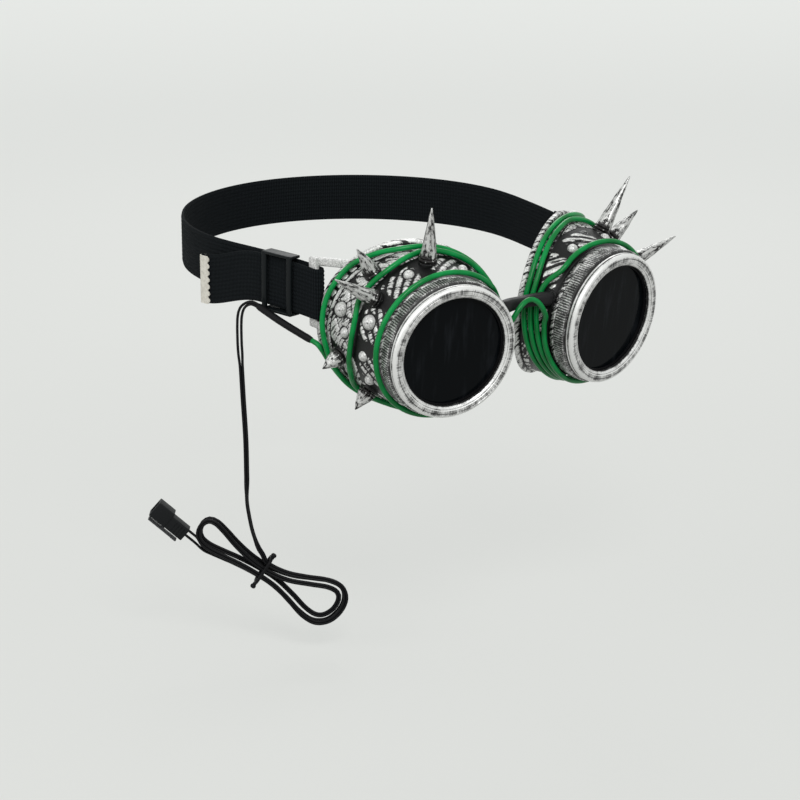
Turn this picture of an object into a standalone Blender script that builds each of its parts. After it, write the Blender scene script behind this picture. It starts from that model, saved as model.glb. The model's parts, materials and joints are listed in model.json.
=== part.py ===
"""Costume goggles with a glowing wire trim, an elastic strap and a plug-in lead.

The lenses look along -Y, +X points to the left cup and +Z is up.
The origin is the back of the bridge.
Every size below is in millimetres, and MM turns it into metres.
"""

import math

import bmesh
import bpy
from mathutils import Matrix, Vector

MM = 0.001
RIGHT, LEFT = -1, 1
SIDES = {RIGHT: "right", LEFT: "left"}

# Clearance that neighbouring pieces keep where they touch
GAP = 0.3

# Lens, and the seats that lap over its edge
LENS_RADIUS = 25.0
LENS_THICKNESS = 2.0
LENS_CHAMFER = 0.3
LENS_LAP = 1.0
LENS_SEGMENTS = 36
GASKET_WIDTH = 1.7
GASKET_THICKNESS = 0.8
OPENING_RADIUS = LENS_RADIUS - LENS_LAP

# Ring that screws over the cup's spigot. The bevel and the steps of its front are pairs:
# how far out from the opening, or in from the face's edge, and how far behind the front
RING_BORE = LENS_RADIUS + 2.1
RING_WALL = 2.9
RING_RADIUS = RING_BORE + RING_WALL
RING_FACE_RADIUS = RING_RADIUS - 0.9
RING_FRONT = 1.5
RING_REAR = -8.4
RING_LIP_REAR = -0.8
RING_BEVEL = ((1.2, 0.6), (1.9, 0.0))
RING_STEPS = ((1.5, 0.0), (0.4, 0.6), (0.0, 1.9), (0.0, 3.3), (0.5, 3.7), (0.5, 4.1))
RING_GRIP_FRONT = 4.4
RING_CHAMFER = 0.4
RING_CLEARANCE = 0.4

# Cups: place of the lens opening's centre, and how the cup looks outward and down.
# The flare is pairs of depth behind the opening and growth over the neck's radius
CUP_HALF_SPACING = 44.1
CUP_FORWARD = 8.5
CUP_DROP = 10.0
CUP_YAW = 8.73
CUP_PITCH = 7.35
CUP_SEGMENTS = 40
CUP_WALL = 2.4
CUP_NECK_RADIUS = RING_RADIUS - 0.4
CUP_NECK_LENGTH = 11.5
CUP_SHOULDER = 1.0
CUP_FLARE = ((11.0, 0.0), (25.0, 3.4), (38.0, 5.4), (50.0, 6.4))
RIM_MEAN_DEPTH = 39.0
RIM_SLANT = 12.5
RIM_FLANGE = 1.6
RIM_FLANGE_WIDTH = 2.2
FLANGE_SLOPE = 0.4
RIB_HEIGHT = 0.7
RIB_FROM_RIM = 8.6
RIB_WIDTH = 1.4
RIB_SLOPE = 0.3

# Spikes: angle from the outer side over the top, depth behind the opening, length,
# lean towards the front and lean round the cup, both in degrees. The collar is pairs of
# the share of the base's radius and the height over the base
SPIKE_BASE_RADIUS = 4.0
SPIKE_COLLAR = ((1.0, 0.8), (0.86, 1.3), (0.93, 2.0), (0.86, 2.8))
SPIKE_TIP_LENGTH = 0.5
SPIKE_PAD = 0.7
SPIKE_PAD_ROOT = 1.2
SPIKE_SEGMENTS = 12
SCREW_RADIUS = 1.05
SCREW_HOLE = 1.4
SCREW_HEAD_RADIUS = 2.5
SCREW_HEAD_HEIGHT = 1.5
SCREW_HEAD_ROUND = 0.6
SCREW_HEAD_CLEARANCE = 0.4
SCREW_SEAT = 0.6
SCREW_SEGMENTS = 10
SPIKE_BORE_LENGTH = 5.0
SPIKE_BORE_TIP = 0.8
SPIKES = {
    RIGHT: (
        (85.0, -21.7, 24.4, 2.1, 4.2),
        (49.0, -32.2, 15.4, 1.9, 5.7),
        (35.5, -22.0, 22.7, -0.6, -5.7),
        (-17.5, -36.4, 10.5, 7.7, -9.2),
        (-46.5, -28.1, 10.8, 3.2, -4.2),
    ),
    LEFT: (
        (60.5, -25.0, 28.5, 2.9, -0.9),
        (45.9, -25.2, 20.0, 9.2, -4.3),
        (30.8, -15.2, 27.6, 12.2, -8.4),
        (-17.5, -36.4, 10.5, 7.7, -9.2),
        (-46.5, -28.1, 10.8, 3.2, -4.2),
    ),
}

# Rivet domes on the cup wall: angle, depth, radius
DOMES = (
    (18.5, -19.6, 3.3),
    (16.0, -37.6, 3.3),
    (2.0, -32.5, 2.4),
    (-9.5, -20.5, 2.4),
    (-32.0, -21.5, 2.4),
    (66.0, -19.5, 2.4),
    (112.0, -17.5, 2.4),
)
DOME_SINK = 0.6
DOME_SEGMENTS = 8

# Bridge between the cups; at its middle it is deeper and less tall
BRIDGE_ANGLE = 160.0
BRIDGE_DEPTH = -12.8
BRIDGE_HALF_DEPTH = 2.2
BRIDGE_HALF_HEIGHT = 3.1
BRIDGE_MIDDLE_DEEPER = 0.8
BRIDGE_MIDDLE_LOWER = 0.6
BRIDGE_PAD = 0.8
BRIDGE_PAD_MARGIN = 0.1
BRIDGE_PAD_ROOT = 1.2
BRIDGE_MIDDLE = (0.0, 1.9, 2.0)
BRIDGE_HANDLE = 4.5
BRIDGE_SCREW_REACH = 3.0
BRIDGE_STEPS = 12
BRIDGE_SEGMENTS = 12
BRIDGE_SQUARENESS = 0.72

# Glowing wire, wound on both cups. Where it steps over the rim, each place is an angle
# from the outer side over the top, a depth, and the height of the wire's middle over the wall
WIRE_DIAMETER = 2.3
WIRE_LIFT = 0.65
WIRE_LEAST_RADIUS = CUP_NECK_RADIUS + 2.15
WIRE_POINTS_PER_TURN = 24
WIRE_RIM_STEPS = ((-15.0, -47.7, 3.3), (-19.5, -46.8, 2.5))
ARCH_SPACING = 4.5
SLEEVE_SPACING = 5.0
END_CAP_DIAMETER = 2.9
END_CAP_LENGTH = 6.0
END_CAP_CHAMFER = 0.5

# Stations of the wire on a cup: angle from the outer side over the top, and depth.
# Each strand runs from the bridge's side (180) over the top to the outer side (0) and back under.
STRAND_UNDER_NOSE = (
    (-110.0, -9.4),
    (-132.0, -9.4),
    (-148.0, -10.3),
    (-163.0, -11.4),
)
NOSE_CROSSING = (-12.0, -15.8, -18.7, -21.6)
STRAND_FRONT = {
    RIGHT: ((160, -17.4), (152, -17.2), (141, -12.9), (129, -10.4), (115, -9.6), (100, -9.4)),
    LEFT: (
        (160, -17.4),
        (152, -17.2),
        (143, -13.7),
        (137, -13.1),
        (111, -12.7),
        (84, -10.9),
        (62, -9.5),
        (31, -8.9),
        (0, -9.3),
    ),
}
STRAND_MIDDLE = {
    RIGHT: (
        (160, -20.3),
        (135, -22.0),
        (110, -24.8),
        (95, -27.0),
        (84, -27.9),
        (72, -26.6),
        (60, -26.1),
        (45, -27.0),
        (30, -27.9),
        (18, -25.7),
        (4, -25.2),
    ),
    LEFT: (
        (160, -20.3),
        (148, -21.0),
        (135, -22.9),
        (110, -27.2),
        (85, -30.8),
        (60, -31.2),
        (44, -31.3),
        (26, -27.6),
        (12, -25.6),
        (2, -25.4),
    ),
}
STRAND_REAR = {
    RIGHT: (
        (160, -23.2),
        (135, -25.2),
        (110, -28.0),
        (95, -30.2),
        (84, -31.3),
        (70, -34.2),
        (60, -38.0),
        (49, -42.9),
        (36, -45.2),
        (20, -47.0),
        (6, -46.4),
    ),
    LEFT: (
        (160, -23.2),
        (148, -24.0),
        (135, -26.0),
        (110, -30.4),
        (85, -34.2),
        (65, -36.6),
        (50, -41.0),
        (36, -45.0),
        (20, -47.0),
        (6, -46.4),
    ),
}
STRAND_MIDDLE_UNDER = (
    (-10, -26.9),
    (-20, -28.6),
    (-33, -31.6),
    (-47, -35.0),
    (-61, -30.2),
    (-77, -20.6),
    (-92, -13.9),
)
STRAND_REAR_UNDER = (
    (-6, -44.4),
    (-18, -42.6),
    (-32, -41.4),
    (-47, -39.1),
    (-61, -34.5),
    (-77, -24.9),
    (-92, -17.9),
)
STRAND_ENTRY = (
    (-24, -46.2),
    (-33, -45.2),
    (-47, -43.1),
    (-61, -38.7),
    (-77, -29.3),
    (-92, -21.9),
)
STRAND_PITCH = 2.95
ARCH = (
    (-10.2, -3.3, -5.0),
    (-8.0, -4.3, -1.3),
    (-5.0, -4.6, 2.4),
    (-1.6, -4.6, 4.4),
    (1.6, -4.6, 4.4),
    (5.0, -4.6, 2.4),
    (8.0, -4.3, -1.3),
    (10.2, -3.3, -5.0),
)
SLEEVE_ROUTE = ((5.1, 2.8, -12.2), (12.0, 5.0, -9.0), (20.0, 7.1, -5.4), (31.6, 7.9, -1.0))

# Strap: a straight stretch behind each ear, and the wide loop between the two
STRAP_WIDTH = 22.0
STRAP_THICKNESS = 1.4
STRAP_LAYER = 2.3
EAR_X = CUP_HALF_SPACING + CUP_NECK_RADIUS - 2.1
EAR_Y = RIM_MEAN_DEPTH + 5.5
STRAP_SPREAD = 9.8
STRAP_LEVEL = 10.6
STRAP_EAR_DROP = 3.0
STRAP_DROP_LENGTH = 22.0
STRAP_STRAIGHT = 56.0
STRAP_BACK = 198.5
STRAP_SIDE_HANDLE = 54.0
STRAP_BACK_HANDLE = 46.0
STRAP_FREE_END = 72.0
STRAP_DROOP = 7.0
STRAP_DROOP_START = 37.0
STRAP_FOLD_LENGTH = 17.0

# Ear: the loop on the cup's outer side that the strap goes round. The upper and the
# lower arm's root are each an angle from the outer side over the top, and a distance from the rim
EAR_ROOTS = ((46.0, 0.5), (-3.5, 2.9))
EAR_ROOT_SINK = 1.0
EAR_TIP_SINK = 0.5
EAR_ARM_THICKNESS = 2.6
EAR_BAR_FRONT = 3.7
EAR_BAR_WIDTH = 4.4
EAR_BAR_THICKNESS = 2.4
EAR_ARM_HEIGHT = 3.6
EAR_ARM_CLEARANCE = 0.5
STRAP_TURN_FRONT = 0.9
STRAP_TURN_CLEARANCE = 0.5
PASSAGE_HALF_WIDTH = 7.0

# Slider on the strap's straight stretch
SLIDER_CENTRE = 24.0
SLIDER_LENGTH = 17.4
SLIDER_INNER_HEIGHT = STRAP_WIDTH + 1.6
SLIDER_RAIL = 1.3
SLIDER_BAR = 2.6
SLIDER_BAR_THICKNESS = 1.6
SLIDER_MIDDLE_HALF = 1.5
SLIDER_STRAP_GAP = 0.4
SLIDER_TILT = 1.5

# Clamp on the strap's free end
CLAMP_LENGTH = 6.3
CLAMP_SHEET = 0.5
CLAMP_TEETH = 7
CLAMP_TOOTH = 1.2
CLAMP_EDGE_INSET = 0.3

# Lead, its hank and what is on it
SLEEVE_DIAMETER = 3.2
LEAD_DIAMETER = 2.4
LEAD_OFF = 7.9
LEAD_ARC = ((35.4, -0.3), (39.1, -1.5), (41.9, -4.0), (43.2, -7.4), (43.6, -11.5))
LEAD_DROP = (
    (-86.8, 86.1, -20.4),
    (-86.4, 85.8, -30.3),
    (-85.9, 85.5, -45.3),
    (-85.3, 85.0, -63.6),
    (-85.2, 85.0, -82.0),
)
LEAD_INTO_HANK = ((-22.7, 22.8), (-13.8, 13.2), (-8.2, 8.6))
HANK_HALF_LENGTH = 36.2
HANK_LENGTH_UNLIKE = 1.6
HANK_LOBE = 19.7
HANK_LOBE_UNLIKE = 4.1
HANK_WAIST = 2.1
HANK_BOW = 3.0
HANK_STEP = 3.2
HANK_LAYER = 2.95
HANK_TURNS = 2.6
HANK_CLIMB_TURNS = 0.2
HANK_POINTS_PER_TURN = 24
HANK_TAIL = ((-27.0, -6.7, -1.7), (-31.5, -5.9, -1.9), (-35.0, -5.4, -1.9))
HANK_CENTRE = (-80.0, 80.9, -124.3)
HANK_TILT = 33.2
VIEW_YAW = 37.8
TIE_DIAMETER = 1.5
TIE_HALF = (6.6, 3.9)
TIE_CORNER = 2.4
TIE_SHIFT = 0.2
TIE_SEGMENTS = 8
KNOB_PROFILE = ((0, 0), (0.9, 0), (0.9, 1.2), (1.25, 1.6), (1.25, 2.4), (0.8, 2.9), (0, 2.9))
KNOB_HEIGHT = 1.56

# Plug: rear body and front block (length, width, depth), and the latch along one side
PLUG_REAR = (9.7, 6.4, 5.6)
PLUG_FRONT = (8.6, 7.9, 6.6)
PLUG_WALL = 1.1
PLUG_PITCH = 2.5
PLUG_BORE = 1.0
PLUG_SOCKET_FLOOR = 1.6
PIN_RADIUS = 0.45
PIN_START = 0.6
PIN_SHOULDER = 0.6
PIN_SHORT = 1.2
PIN_POINT = 0.4
LATCH_GAP = 1.5
LATCH_PIVOT = 0.6
LATCH_PIVOT_HALF = 0.6
LATCH_THICKNESS = 0.8
LATCH_WIDTH = 3.2
LATCH_REAR_SHORT = 1.4
LATCH_FRONT_SHORT = 1.2
LATCH_HOOK_LENGTH = 0.9
LATCH_HOOK_DEPTH = 0.45

# How far two bodies that are fused reach into each other
OVERLAP = 0.1


def material(name, colour, roughness, metallic=0.0):
    """A plain Principled material."""
    made = bpy.data.materials.new(name)
    made.use_nodes = True
    shader = made.node_tree.nodes["Principled BSDF"]
    shader.inputs["Base Color"].default_value = (*colour, 1.0)
    shader.inputs["Roughness"].default_value = roughness
    shader.inputs["Metallic"].default_value = metallic
    return made


def clear_scene():
    """Remove what the startup file holds."""
    for leftover in list(bpy.data.objects):
        bpy.data.objects.remove(leftover, do_unlink=True)


def place(item, matrix, parent=None):
    """Put an object at a matrix given in millimetres, under a parent if there is one."""
    metres = matrix.copy()
    metres.translation = matrix.translation * MM
    if parent is not None:
        item.parent = parent
    item.matrix_basis = metres
    return item


def mesh_object(name, points, faces, look, matrix=Matrix(), parent=None, sharp=35.0):
    """A mesh object from points in millimetres, with outward faces."""
    mesh = bpy.data.meshes.new(name)
    mesh.from_pydata([Vector(p) * MM for p in points], [], faces)
    work = bmesh.new()
    work.from_mesh(mesh)
    bmesh.ops.recalc_face_normals(work, faces=work.faces)
    work.to_mesh(mesh)
    work.free()
    mesh.materials.append(look)
    mesh.shade_smooth()
    mesh.set_sharp_from_angle(angle=math.radians(sharp))
    item = bpy.data.objects.new(name, mesh)
    bpy.context.scene.collection.objects.link(item)
    return place(item, matrix, parent)


def loft_faces(rings, count, closed):
    """Quads between rings of points, joined end to end or capped."""
    faces = []
    links = rings if closed else rings - 1
    for i in range(links):
        a, b = i * count, (i + 1) % rings * count
        for j in range(count):
            k = (j + 1) % count
            faces.append((a + j, a + k, b + k, b + j))
    if not closed:
        faces.append(tuple(reversed(range(count))))
        faces.append(tuple(range((rings - 1) * count, rings * count)))
    return faces


def loft(name, rings, look, matrix=Matrix(), parent=None, closed=False):
    """A body skinned over rings with equal numbers of points."""
    points = [p for ring in rings for p in ring]
    faces = loft_faces(len(rings), len(rings[0]), closed)
    return mesh_object(name, points, faces, look, matrix, parent)


def lathe(name, profile, segments, look, matrix=Matrix(), parent=None):
    """A profile of (radius, height) turned round Z; radius 0 makes a pole."""
    points, rows = [], []
    for radius, height in profile:
        if radius == 0:
            rows.append([len(points)])
            points.append((0.0, 0.0, height))
            continue
        rows.append(range(len(points), len(points) + segments))
        for j in range(segments):
            turn = math.tau * j / segments
            points.append((radius * math.cos(turn), radius * math.sin(turn), height))
    faces = []
    open_ended = profile[0][0] == 0 and profile[-1][0] == 0
    last = len(rows) - 1 if open_ended else len(rows)
    for i in range(last):
        here, there = rows[i], rows[(i + 1) % len(rows)]
        for j in range(segments):
            k = (j + 1) % segments
            if len(here) == 1:
                faces.append((here[0], there[j], there[k]))
            elif len(there) == 1:
                faces.append((here[j], here[k], there[0]))
            else:
                faces.append((here[j], here[k], there[k], there[j]))
    return mesh_object(name, points, faces, look, matrix, parent)


def prism(name, outline, low, high, look, matrix=Matrix(), parent=None):
    """An outline in XY, extruded from low to high along Z."""
    rings = [[(x, y, z) for x, y in outline] for z in (low, high)]
    return loft(name, rings, look, matrix, parent)


def box(name, low, high, look, matrix=Matrix(), parent=None):
    """A block between two corners."""
    outline = ((low[0], low[1]), (high[0], low[1]), (high[0], high[1]), (low[0], high[1]))
    return prism(name, outline, low[2], high[2], look, matrix, parent)


def beam(name, start, end, side, width, height, look):
    """A straight block between two points; width lies along the side direction."""
    start, end = Vector(start), Vector(end)
    along = (end - start).normalized()
    across = (Vector(side) - Vector(side).dot(along) * along).normalized()
    upright = along.cross(across)
    corners = ((-1, -1), (1, -1), (1, 1), (-1, 1))
    rings = []
    for point in (start, end):
        ring = []
        for i, j in corners:
            ring.append(point + across * (i * width / 2) + upright * (j * height / 2))
        rings.append(ring)
    return loft(name, rings, look)


def tube(name, points, diameter, look, resolution=2):
    """A round cord as a bevelled curve with filled caps."""
    curve = bpy.data.curves.new(name, "CURVE")
    curve.dimensions = "3D"
    curve.bevel_depth = diameter / 2 * MM
    curve.bevel_resolution = resolution
    curve.use_fill_caps = True
    curve.render_resolution_u = 0
    spline = curve.splines.new("POLY")
    spline.points.add(len(points) - 1)
    for target, point in zip(spline.points, points):
        target.co = (*(Vector(point) * MM), 1.0)
    curve.materials.append(look)
    item = bpy.data.objects.new(name, curve)
    bpy.context.scene.collection.objects.link(item)
    return item


def combine(target, operation, parts):
    """Fuse parts to a target, or cut them from it, with one Boolean."""
    label = f"{target.name}_{operation.lower()}_{len(target.modifiers)}"
    group = bpy.data.collections.new(label)
    bpy.context.scene.collection.children.link(group)
    for part in parts:
        for owner in list(part.users_collection):
            owner.objects.unlink(part)
        group.objects.link(part)
        part.hide_render = True
        part.display_type = "WIRE"
    modifier = target.modifiers.new(label, "BOOLEAN")
    modifier.operation = operation
    modifier.operand_type = "COLLECTION"
    modifier.collection = group


def smooth_path(stations, spacing):
    """Points on a smooth curve through hand-placed stations, about a spacing apart."""
    nodes = [Vector(p) for p in stations]
    path = [nodes[0]]
    for i in range(len(nodes) - 1):
        before = nodes[i - 1] if i else 2 * nodes[0] - nodes[1]
        after = nodes[i + 2] if i + 2 < len(nodes) else 2 * nodes[-1] - nodes[-2]
        a, b = nodes[i], nodes[i + 1]
        steps = max(1, round((b - a).length / spacing))
        for k in range(1, steps + 1):
            t = k / steps
            pull = (b - before) * (t - 2 * t * t + t**3) / 2
            push = (after - a) * (t**3 - t * t) / 2
            rest = a * (1 - 3 * t * t + 2 * t**3) + b * (3 * t * t - 2 * t**3)
            path.append(rest + pull + push)
    return path


def read_curve(stations, x):
    """A smooth value at x between stations (x, value) that rise in x."""
    i = 0
    while i < len(stations) - 2 and x > stations[i + 1][0]:
        i += 1

    def slope(k):
        if k == 0 or k == len(stations) - 1:
            return 0.0
        (x0, y0), (x2, y2) = stations[k - 1], stations[k + 1]
        return (y2 - y0) / (x2 - x0)

    (x0, y0), (x1, y1) = stations[i], stations[i + 1]
    span = x1 - x0
    t = (x - x0) / span
    value = y0 * (1 - 3 * t * t + 2 * t**3) + y1 * (3 * t * t - 2 * t**3)
    value += slope(i) * span * (t - 2 * t * t + t**3) + slope(i + 1) * span * (t**3 - t * t)
    return value


def least_gap(points, diameter, skip):
    """The least gap between parts of a tube that are more than skip points apart."""
    least = math.inf
    for i, a in enumerate(points):
        for j in range(i + skip, len(points) - 1):
            b, c = points[j], points[j + 1]
            t = max(0.0, min(1.0, (a - b).dot(c - b) / (c - b).length_squared))
            least = min(least, (a - b - (c - b) * t).length)
    return least - diameter


def cup_matrix(side):
    """Cup frame: X sideways, Y up and Z out of the opening, in millimetres."""
    yaw, pitch = math.radians(CUP_YAW), math.radians(CUP_PITCH)
    out = Vector(
        (side * math.sin(yaw), -math.cos(yaw) * math.cos(pitch), -math.cos(yaw) * math.sin(pitch))
    )
    sideways = Vector((0, 0, 1)).cross(out).normalized()
    up = out.cross(sideways)
    frame = Matrix((sideways, up, out)).transposed().to_4x4()
    frame.translation = Vector((side * CUP_HALF_SPACING, -CUP_FORWARD, -CUP_DROP))
    return frame


def cup_radius(depth):
    """Outer radius of the cup wall at a depth behind the opening."""
    for (d0, r0), (d1, r1) in zip(CUP_FLARE, CUP_FLARE[1:]):
        if depth <= d1:
            return CUP_NECK_RADIUS + r0 + (r1 - r0) * max(0.0, depth - d0) / (d1 - d0)
    (d0, r0), (d1, r1) = CUP_FLARE[-2:]
    return CUP_NECK_RADIUS + r1 + (r1 - r0) * (depth - d1) / (d1 - d0)


def rim_depth(turn):
    """Depth of the rear rim, which is cut at a slant."""
    return RIM_MEAN_DEPTH + RIM_SLANT * math.cos(turn)


def rib_height(turn):
    """Height of the raised rib, which fades out towards the bridge."""
    return RIB_HEIGHT * (1 + math.cos(turn)) / 2


def on_cup(side, angle, height, radius):
    """A point in the cup's own frame; the angle runs from the outer side over the top."""
    turn = math.radians(angle)
    return Vector((side * radius * math.cos(turn), radius * math.sin(turn), height))


def spike_frame(side, angle, height, lean_front, lean_round, radius):
    """Frame in cup space whose Z points along a spike that stands at a radius."""
    turn = math.radians(angle)
    radial = Vector((side * math.cos(turn), math.sin(turn), 0))
    around = Vector((-side * math.sin(turn), math.cos(turn), 0))
    front = math.tan(math.radians(lean_front))
    sway = math.tan(math.radians(lean_round))
    along = (radial + Vector((0, 0, front)) + around * sway).normalized()
    across = along.cross(Vector((0, 0, 1))).normalized()
    frame = Matrix((across, along.cross(across), along)).transposed().to_4x4()
    frame.translation = on_cup(side, angle, height, radius)
    return frame


def cup_profile(turn):
    """Meridian of the cup wall at an angle: outside front to back, then inside."""
    rim = rim_depth(turn)
    rib = rib_height(turn)
    rib_front = rim - RIB_FROM_RIM
    rib_rear = rib_front + RIB_WIDTH
    flange_front = rim - RIM_FLANGE_WIDTH
    spigot = RING_BORE - RING_CLEARANCE
    spigot_front = -RING_LIP_REAR + 2 * GAP + GASKET_THICKNESS + LENS_THICKNESS + GAP
    profile = [
        (spigot, spigot_front),
        (spigot, -RING_REAR + GAP),
        (CUP_NECK_RADIUS, -RING_REAR + GAP),
        (CUP_NECK_RADIUS, CUP_NECK_LENGTH),
    ]
    middle = (CUP_NECK_LENGTH + rib_front) / 2
    for depth, extra in (
        (middle, 0.0),
        (rib_front - RIB_SLOPE, 0.0),
        (rib_front, rib),
        (rib_rear, rib),
        (rib_rear + RIB_SLOPE, 0.0),
        (flange_front - FLANGE_SLOPE, 0.0),
        (flange_front, RIM_FLANGE),
        (rim, RIM_FLANGE),
        (rim, -CUP_WALL),
        (middle, -CUP_WALL),
    ):
        profile.append((cup_radius(depth) + extra, depth))
    step_rear = CUP_NECK_LENGTH + CUP_SHOULDER
    bore = OPENING_RADIUS + GAP
    profile.append((cup_radius(step_rear) - CUP_WALL, step_rear))
    profile.append((bore, CUP_NECK_LENGTH - CUP_SHOULDER))
    profile.append((bore, spigot_front))
    return profile


def cup_shell(side, look, axis):
    """The cup's wall, open at both ends."""
    rings = []
    for j in range(CUP_SEGMENTS):
        turn = math.tau * j / CUP_SEGMENTS
        ring = []
        for radius, depth in cup_profile(turn):
            ring.append((side * radius * math.cos(turn), radius * math.sin(turn), -depth))
        rings.append(ring)
    return loft(f"{SIDES[side]}_cup", rings, look, parent=axis, closed=True)


def strap_height(s):
    """Height of the strap's middle at a distance behind the ear."""
    return STRAP_LEVEL - STRAP_EAR_DROP * math.exp(-s / STRAP_DROP_LENGTH)


def strap_point(side, s, off, z):
    """A point by distance behind the ear, distance out from the strap's plane and height."""
    spread = math.radians(STRAP_SPREAD)
    x = EAR_X + s * math.sin(spread) + off * math.cos(spread)
    y = EAR_Y + s * math.cos(spread) - off * math.sin(spread)
    return Vector((side * x, y, z))


def ear_parts(side, look):
    """The ear's rear bar and its two arms, in the world frame."""
    bar = EAR_BAR_FRONT + EAR_BAR_WIDTH / 2
    middle = strap_height(bar)
    reach = STRAP_WIDTH / 2 + EAR_ARM_CLEARANCE + EAR_ARM_HEIGHT / 2
    top, bottom = middle + reach, middle - reach
    end = EAR_ARM_HEIGHT / 2
    outward = strap_point(side, 0, 1, 0) - strap_point(side, 0, 0, 0)
    frame = cup_matrix(side)
    parts = [
        beam(
            f"{SIDES[side]}_ear_bar",
            strap_point(side, bar, 0, bottom - end),
            strap_point(side, bar, 0, top + end),
            outward,
            EAR_BAR_THICKNESS,
            EAR_BAR_WIDTH,
            look,
        )
    ]
    for height, (angle, from_rim) in zip((top, bottom), EAR_ROOTS):
        depth = rim_depth(math.radians(angle)) - from_rim
        root = frame @ on_cup(side, angle, -depth, cup_radius(depth) - EAR_ROOT_SINK)
        tip = strap_point(side, bar + EAR_BAR_WIDTH / 2 - EAR_TIP_SINK, 0, height)
        name = f"{SIDES[side]}_ear_arm_{len(parts)}"
        parts.append(beam(name, root, tip, (0, 0, 1), EAR_ARM_HEIGHT, EAR_ARM_THICKNESS, look))
    return parts


def strap_passage(side, look):
    """Cutter for the way that the strap takes through the rim, in front of the ear's bar."""
    low = STRAP_TURN_FRONT - STRAP_TURN_CLEARANCE
    high = EAR_BAR_FRONT + EAR_BAR_WIDTH
    middle = strap_height(EAR_BAR_FRONT)
    half = STRAP_WIDTH / 2 + EAR_ARM_CLEARANCE
    wide = PASSAGE_HALF_WIDTH
    rings = []
    for z in (middle - half, middle + half):
        corners = ((low, -wide), (high, -wide), (high, wide), (low, wide))
        rings.append([strap_point(side, s, off, z) for s, off in corners])
    return loft(f"{SIDES[side]}_strap_passage", rings, look)


def pad(name, frame, look, axis):
    """A round seat that rises out of the cup wall along a spike's axis."""
    radius = SPIKE_BASE_RADIUS
    low, high = -SPIKE_PAD_ROOT, SPIKE_PAD
    profile = ((0, low), (radius, low), (radius, high), (0, high))
    return lathe(name, profile, SPIKE_SEGMENTS, look, frame, axis)


def screw_hole(name, frame, look, axis):
    """A stepped cutter: a seat for the head inside the wall, and the hole."""
    seat = -CUP_WALL + SCREW_SEAT
    inside = -2 * CUP_WALL
    outside = 2 * SPIKE_PAD + GAP
    head = SCREW_HEAD_RADIUS + SCREW_HEAD_CLEARANCE
    profile = (
        (0, inside),
        (head, inside),
        (head, seat),
        (SCREW_HOLE, seat),
        (SCREW_HOLE, outside),
        (0, outside),
    )
    return lathe(name, profile, SCREW_SEGMENTS, look, frame, axis)


def screw(name, frame, length, look, axis):
    """A pan-head screw put in from inside the cup."""
    top = -CUP_WALL + SCREW_SEAT - GAP
    low = top - SCREW_HEAD_HEIGHT
    profile = (
        (0, low),
        (SCREW_HEAD_RADIUS * 0.7, low),
        (SCREW_HEAD_RADIUS, low + SCREW_HEAD_ROUND),
        (SCREW_HEAD_RADIUS, top),
        (SCREW_RADIUS, top),
        (SCREW_RADIUS, length),
        (0, length),
    )
    return lathe(name, profile, SCREW_SEGMENTS, look, frame, axis)


def spike(name, frame, length, look, axis):
    """A cone with a collar and a blind hole for its screw."""
    base = SPIKE_BASE_RADIUS
    low = SPIKE_PAD + GAP
    hole = low + SPIKE_BORE_LENGTH
    profile = [(0, hole), (SCREW_HOLE, hole - SPIKE_BORE_TIP), (SCREW_HOLE, low), (base, low)]
    profile += [(base * share, low + height) for share, height in SPIKE_COLLAR]
    profile += [
        (base * 0.50, (low + length) / 2),
        (base * 0.10, length - SPIKE_TIP_LENGTH),
        (0, length),
    ]
    return lathe(name, profile, SPIKE_SEGMENTS, look, frame, axis)


def bridge_frame(side):
    """Frame in cup space on the cup's surface where the bridge seats."""
    radius = cup_radius(-BRIDGE_DEPTH)
    return spike_frame(side, BRIDGE_ANGLE, BRIDGE_DEPTH, 0, 0, radius)


def build_cup(side, axis, looks):
    """One cup with its ear, seats, domes and holes, and the screws and spikes on it."""
    name = SIDES[side]
    cup = cup_shell(side, looks["cup"], axis)
    combine(cup, "DIFFERENCE", [strap_passage(side, looks["cup"])])
    added, holes = ear_parts(side, looks["cup"]), []
    for number, (angle, height, length, front, sway) in enumerate(SPIKES[side], 1):
        frame = spike_frame(side, angle, height, front, sway, cup_radius(-height))
        label = f"{name}_spike_{number}"
        added.append(pad(f"{label}_pad", frame, looks["cup"], axis))
        holes.append(screw_hole(f"{label}_hole", frame, looks["cup"], axis))
        spike(label, frame, length, looks["spike"], axis)
        into = SPIKE_PAD + GAP + SPIKE_BORE_LENGTH - SPIKE_BORE_TIP - GAP
        screw(f"{name}_spike_screw_{number}", frame, into, looks["steel"], axis)
    for number, (angle, height, radius) in enumerate(DOMES, 1):
        middle = on_cup(side, angle, height, cup_radius(-height) - DOME_SINK)
        steps = 4
        profile = []
        for k in range(steps + 1):
            turn = math.pi * k / steps
            profile.append((radius * math.sin(turn) if 0 < k < steps else 0, radius * math.cos(turn)))
        frame = spike_frame(side, angle, height, 0, 0, cup_radius(-height) - DOME_SINK)
        frame.translation = middle
        label = f"{name}_dome_{number}"
        added.append(lathe(label, profile, DOME_SEGMENTS, looks["cup"], frame, axis))
    frame = bridge_frame(side)
    half = (BRIDGE_HALF_HEIGHT + BRIDGE_PAD_MARGIN, BRIDGE_HALF_DEPTH + BRIDGE_PAD_MARGIN)
    low, high = (-half[0], -half[1], -BRIDGE_PAD_ROOT), (half[0], half[1], BRIDGE_PAD)
    added.append(box(f"{name}_bridge_pad", low, high, looks["cup"], frame, axis))
    holes.append(screw_hole(f"{name}_bridge_hole", frame, looks["cup"], axis))
    reach = BRIDGE_PAD + GAP + BRIDGE_SCREW_REACH
    screw(f"{name}_bridge_screw", frame, reach, looks["steel"], axis)
    combine(cup, "UNION", added)
    combine(cup, "DIFFERENCE", holes)
    return cup


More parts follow.
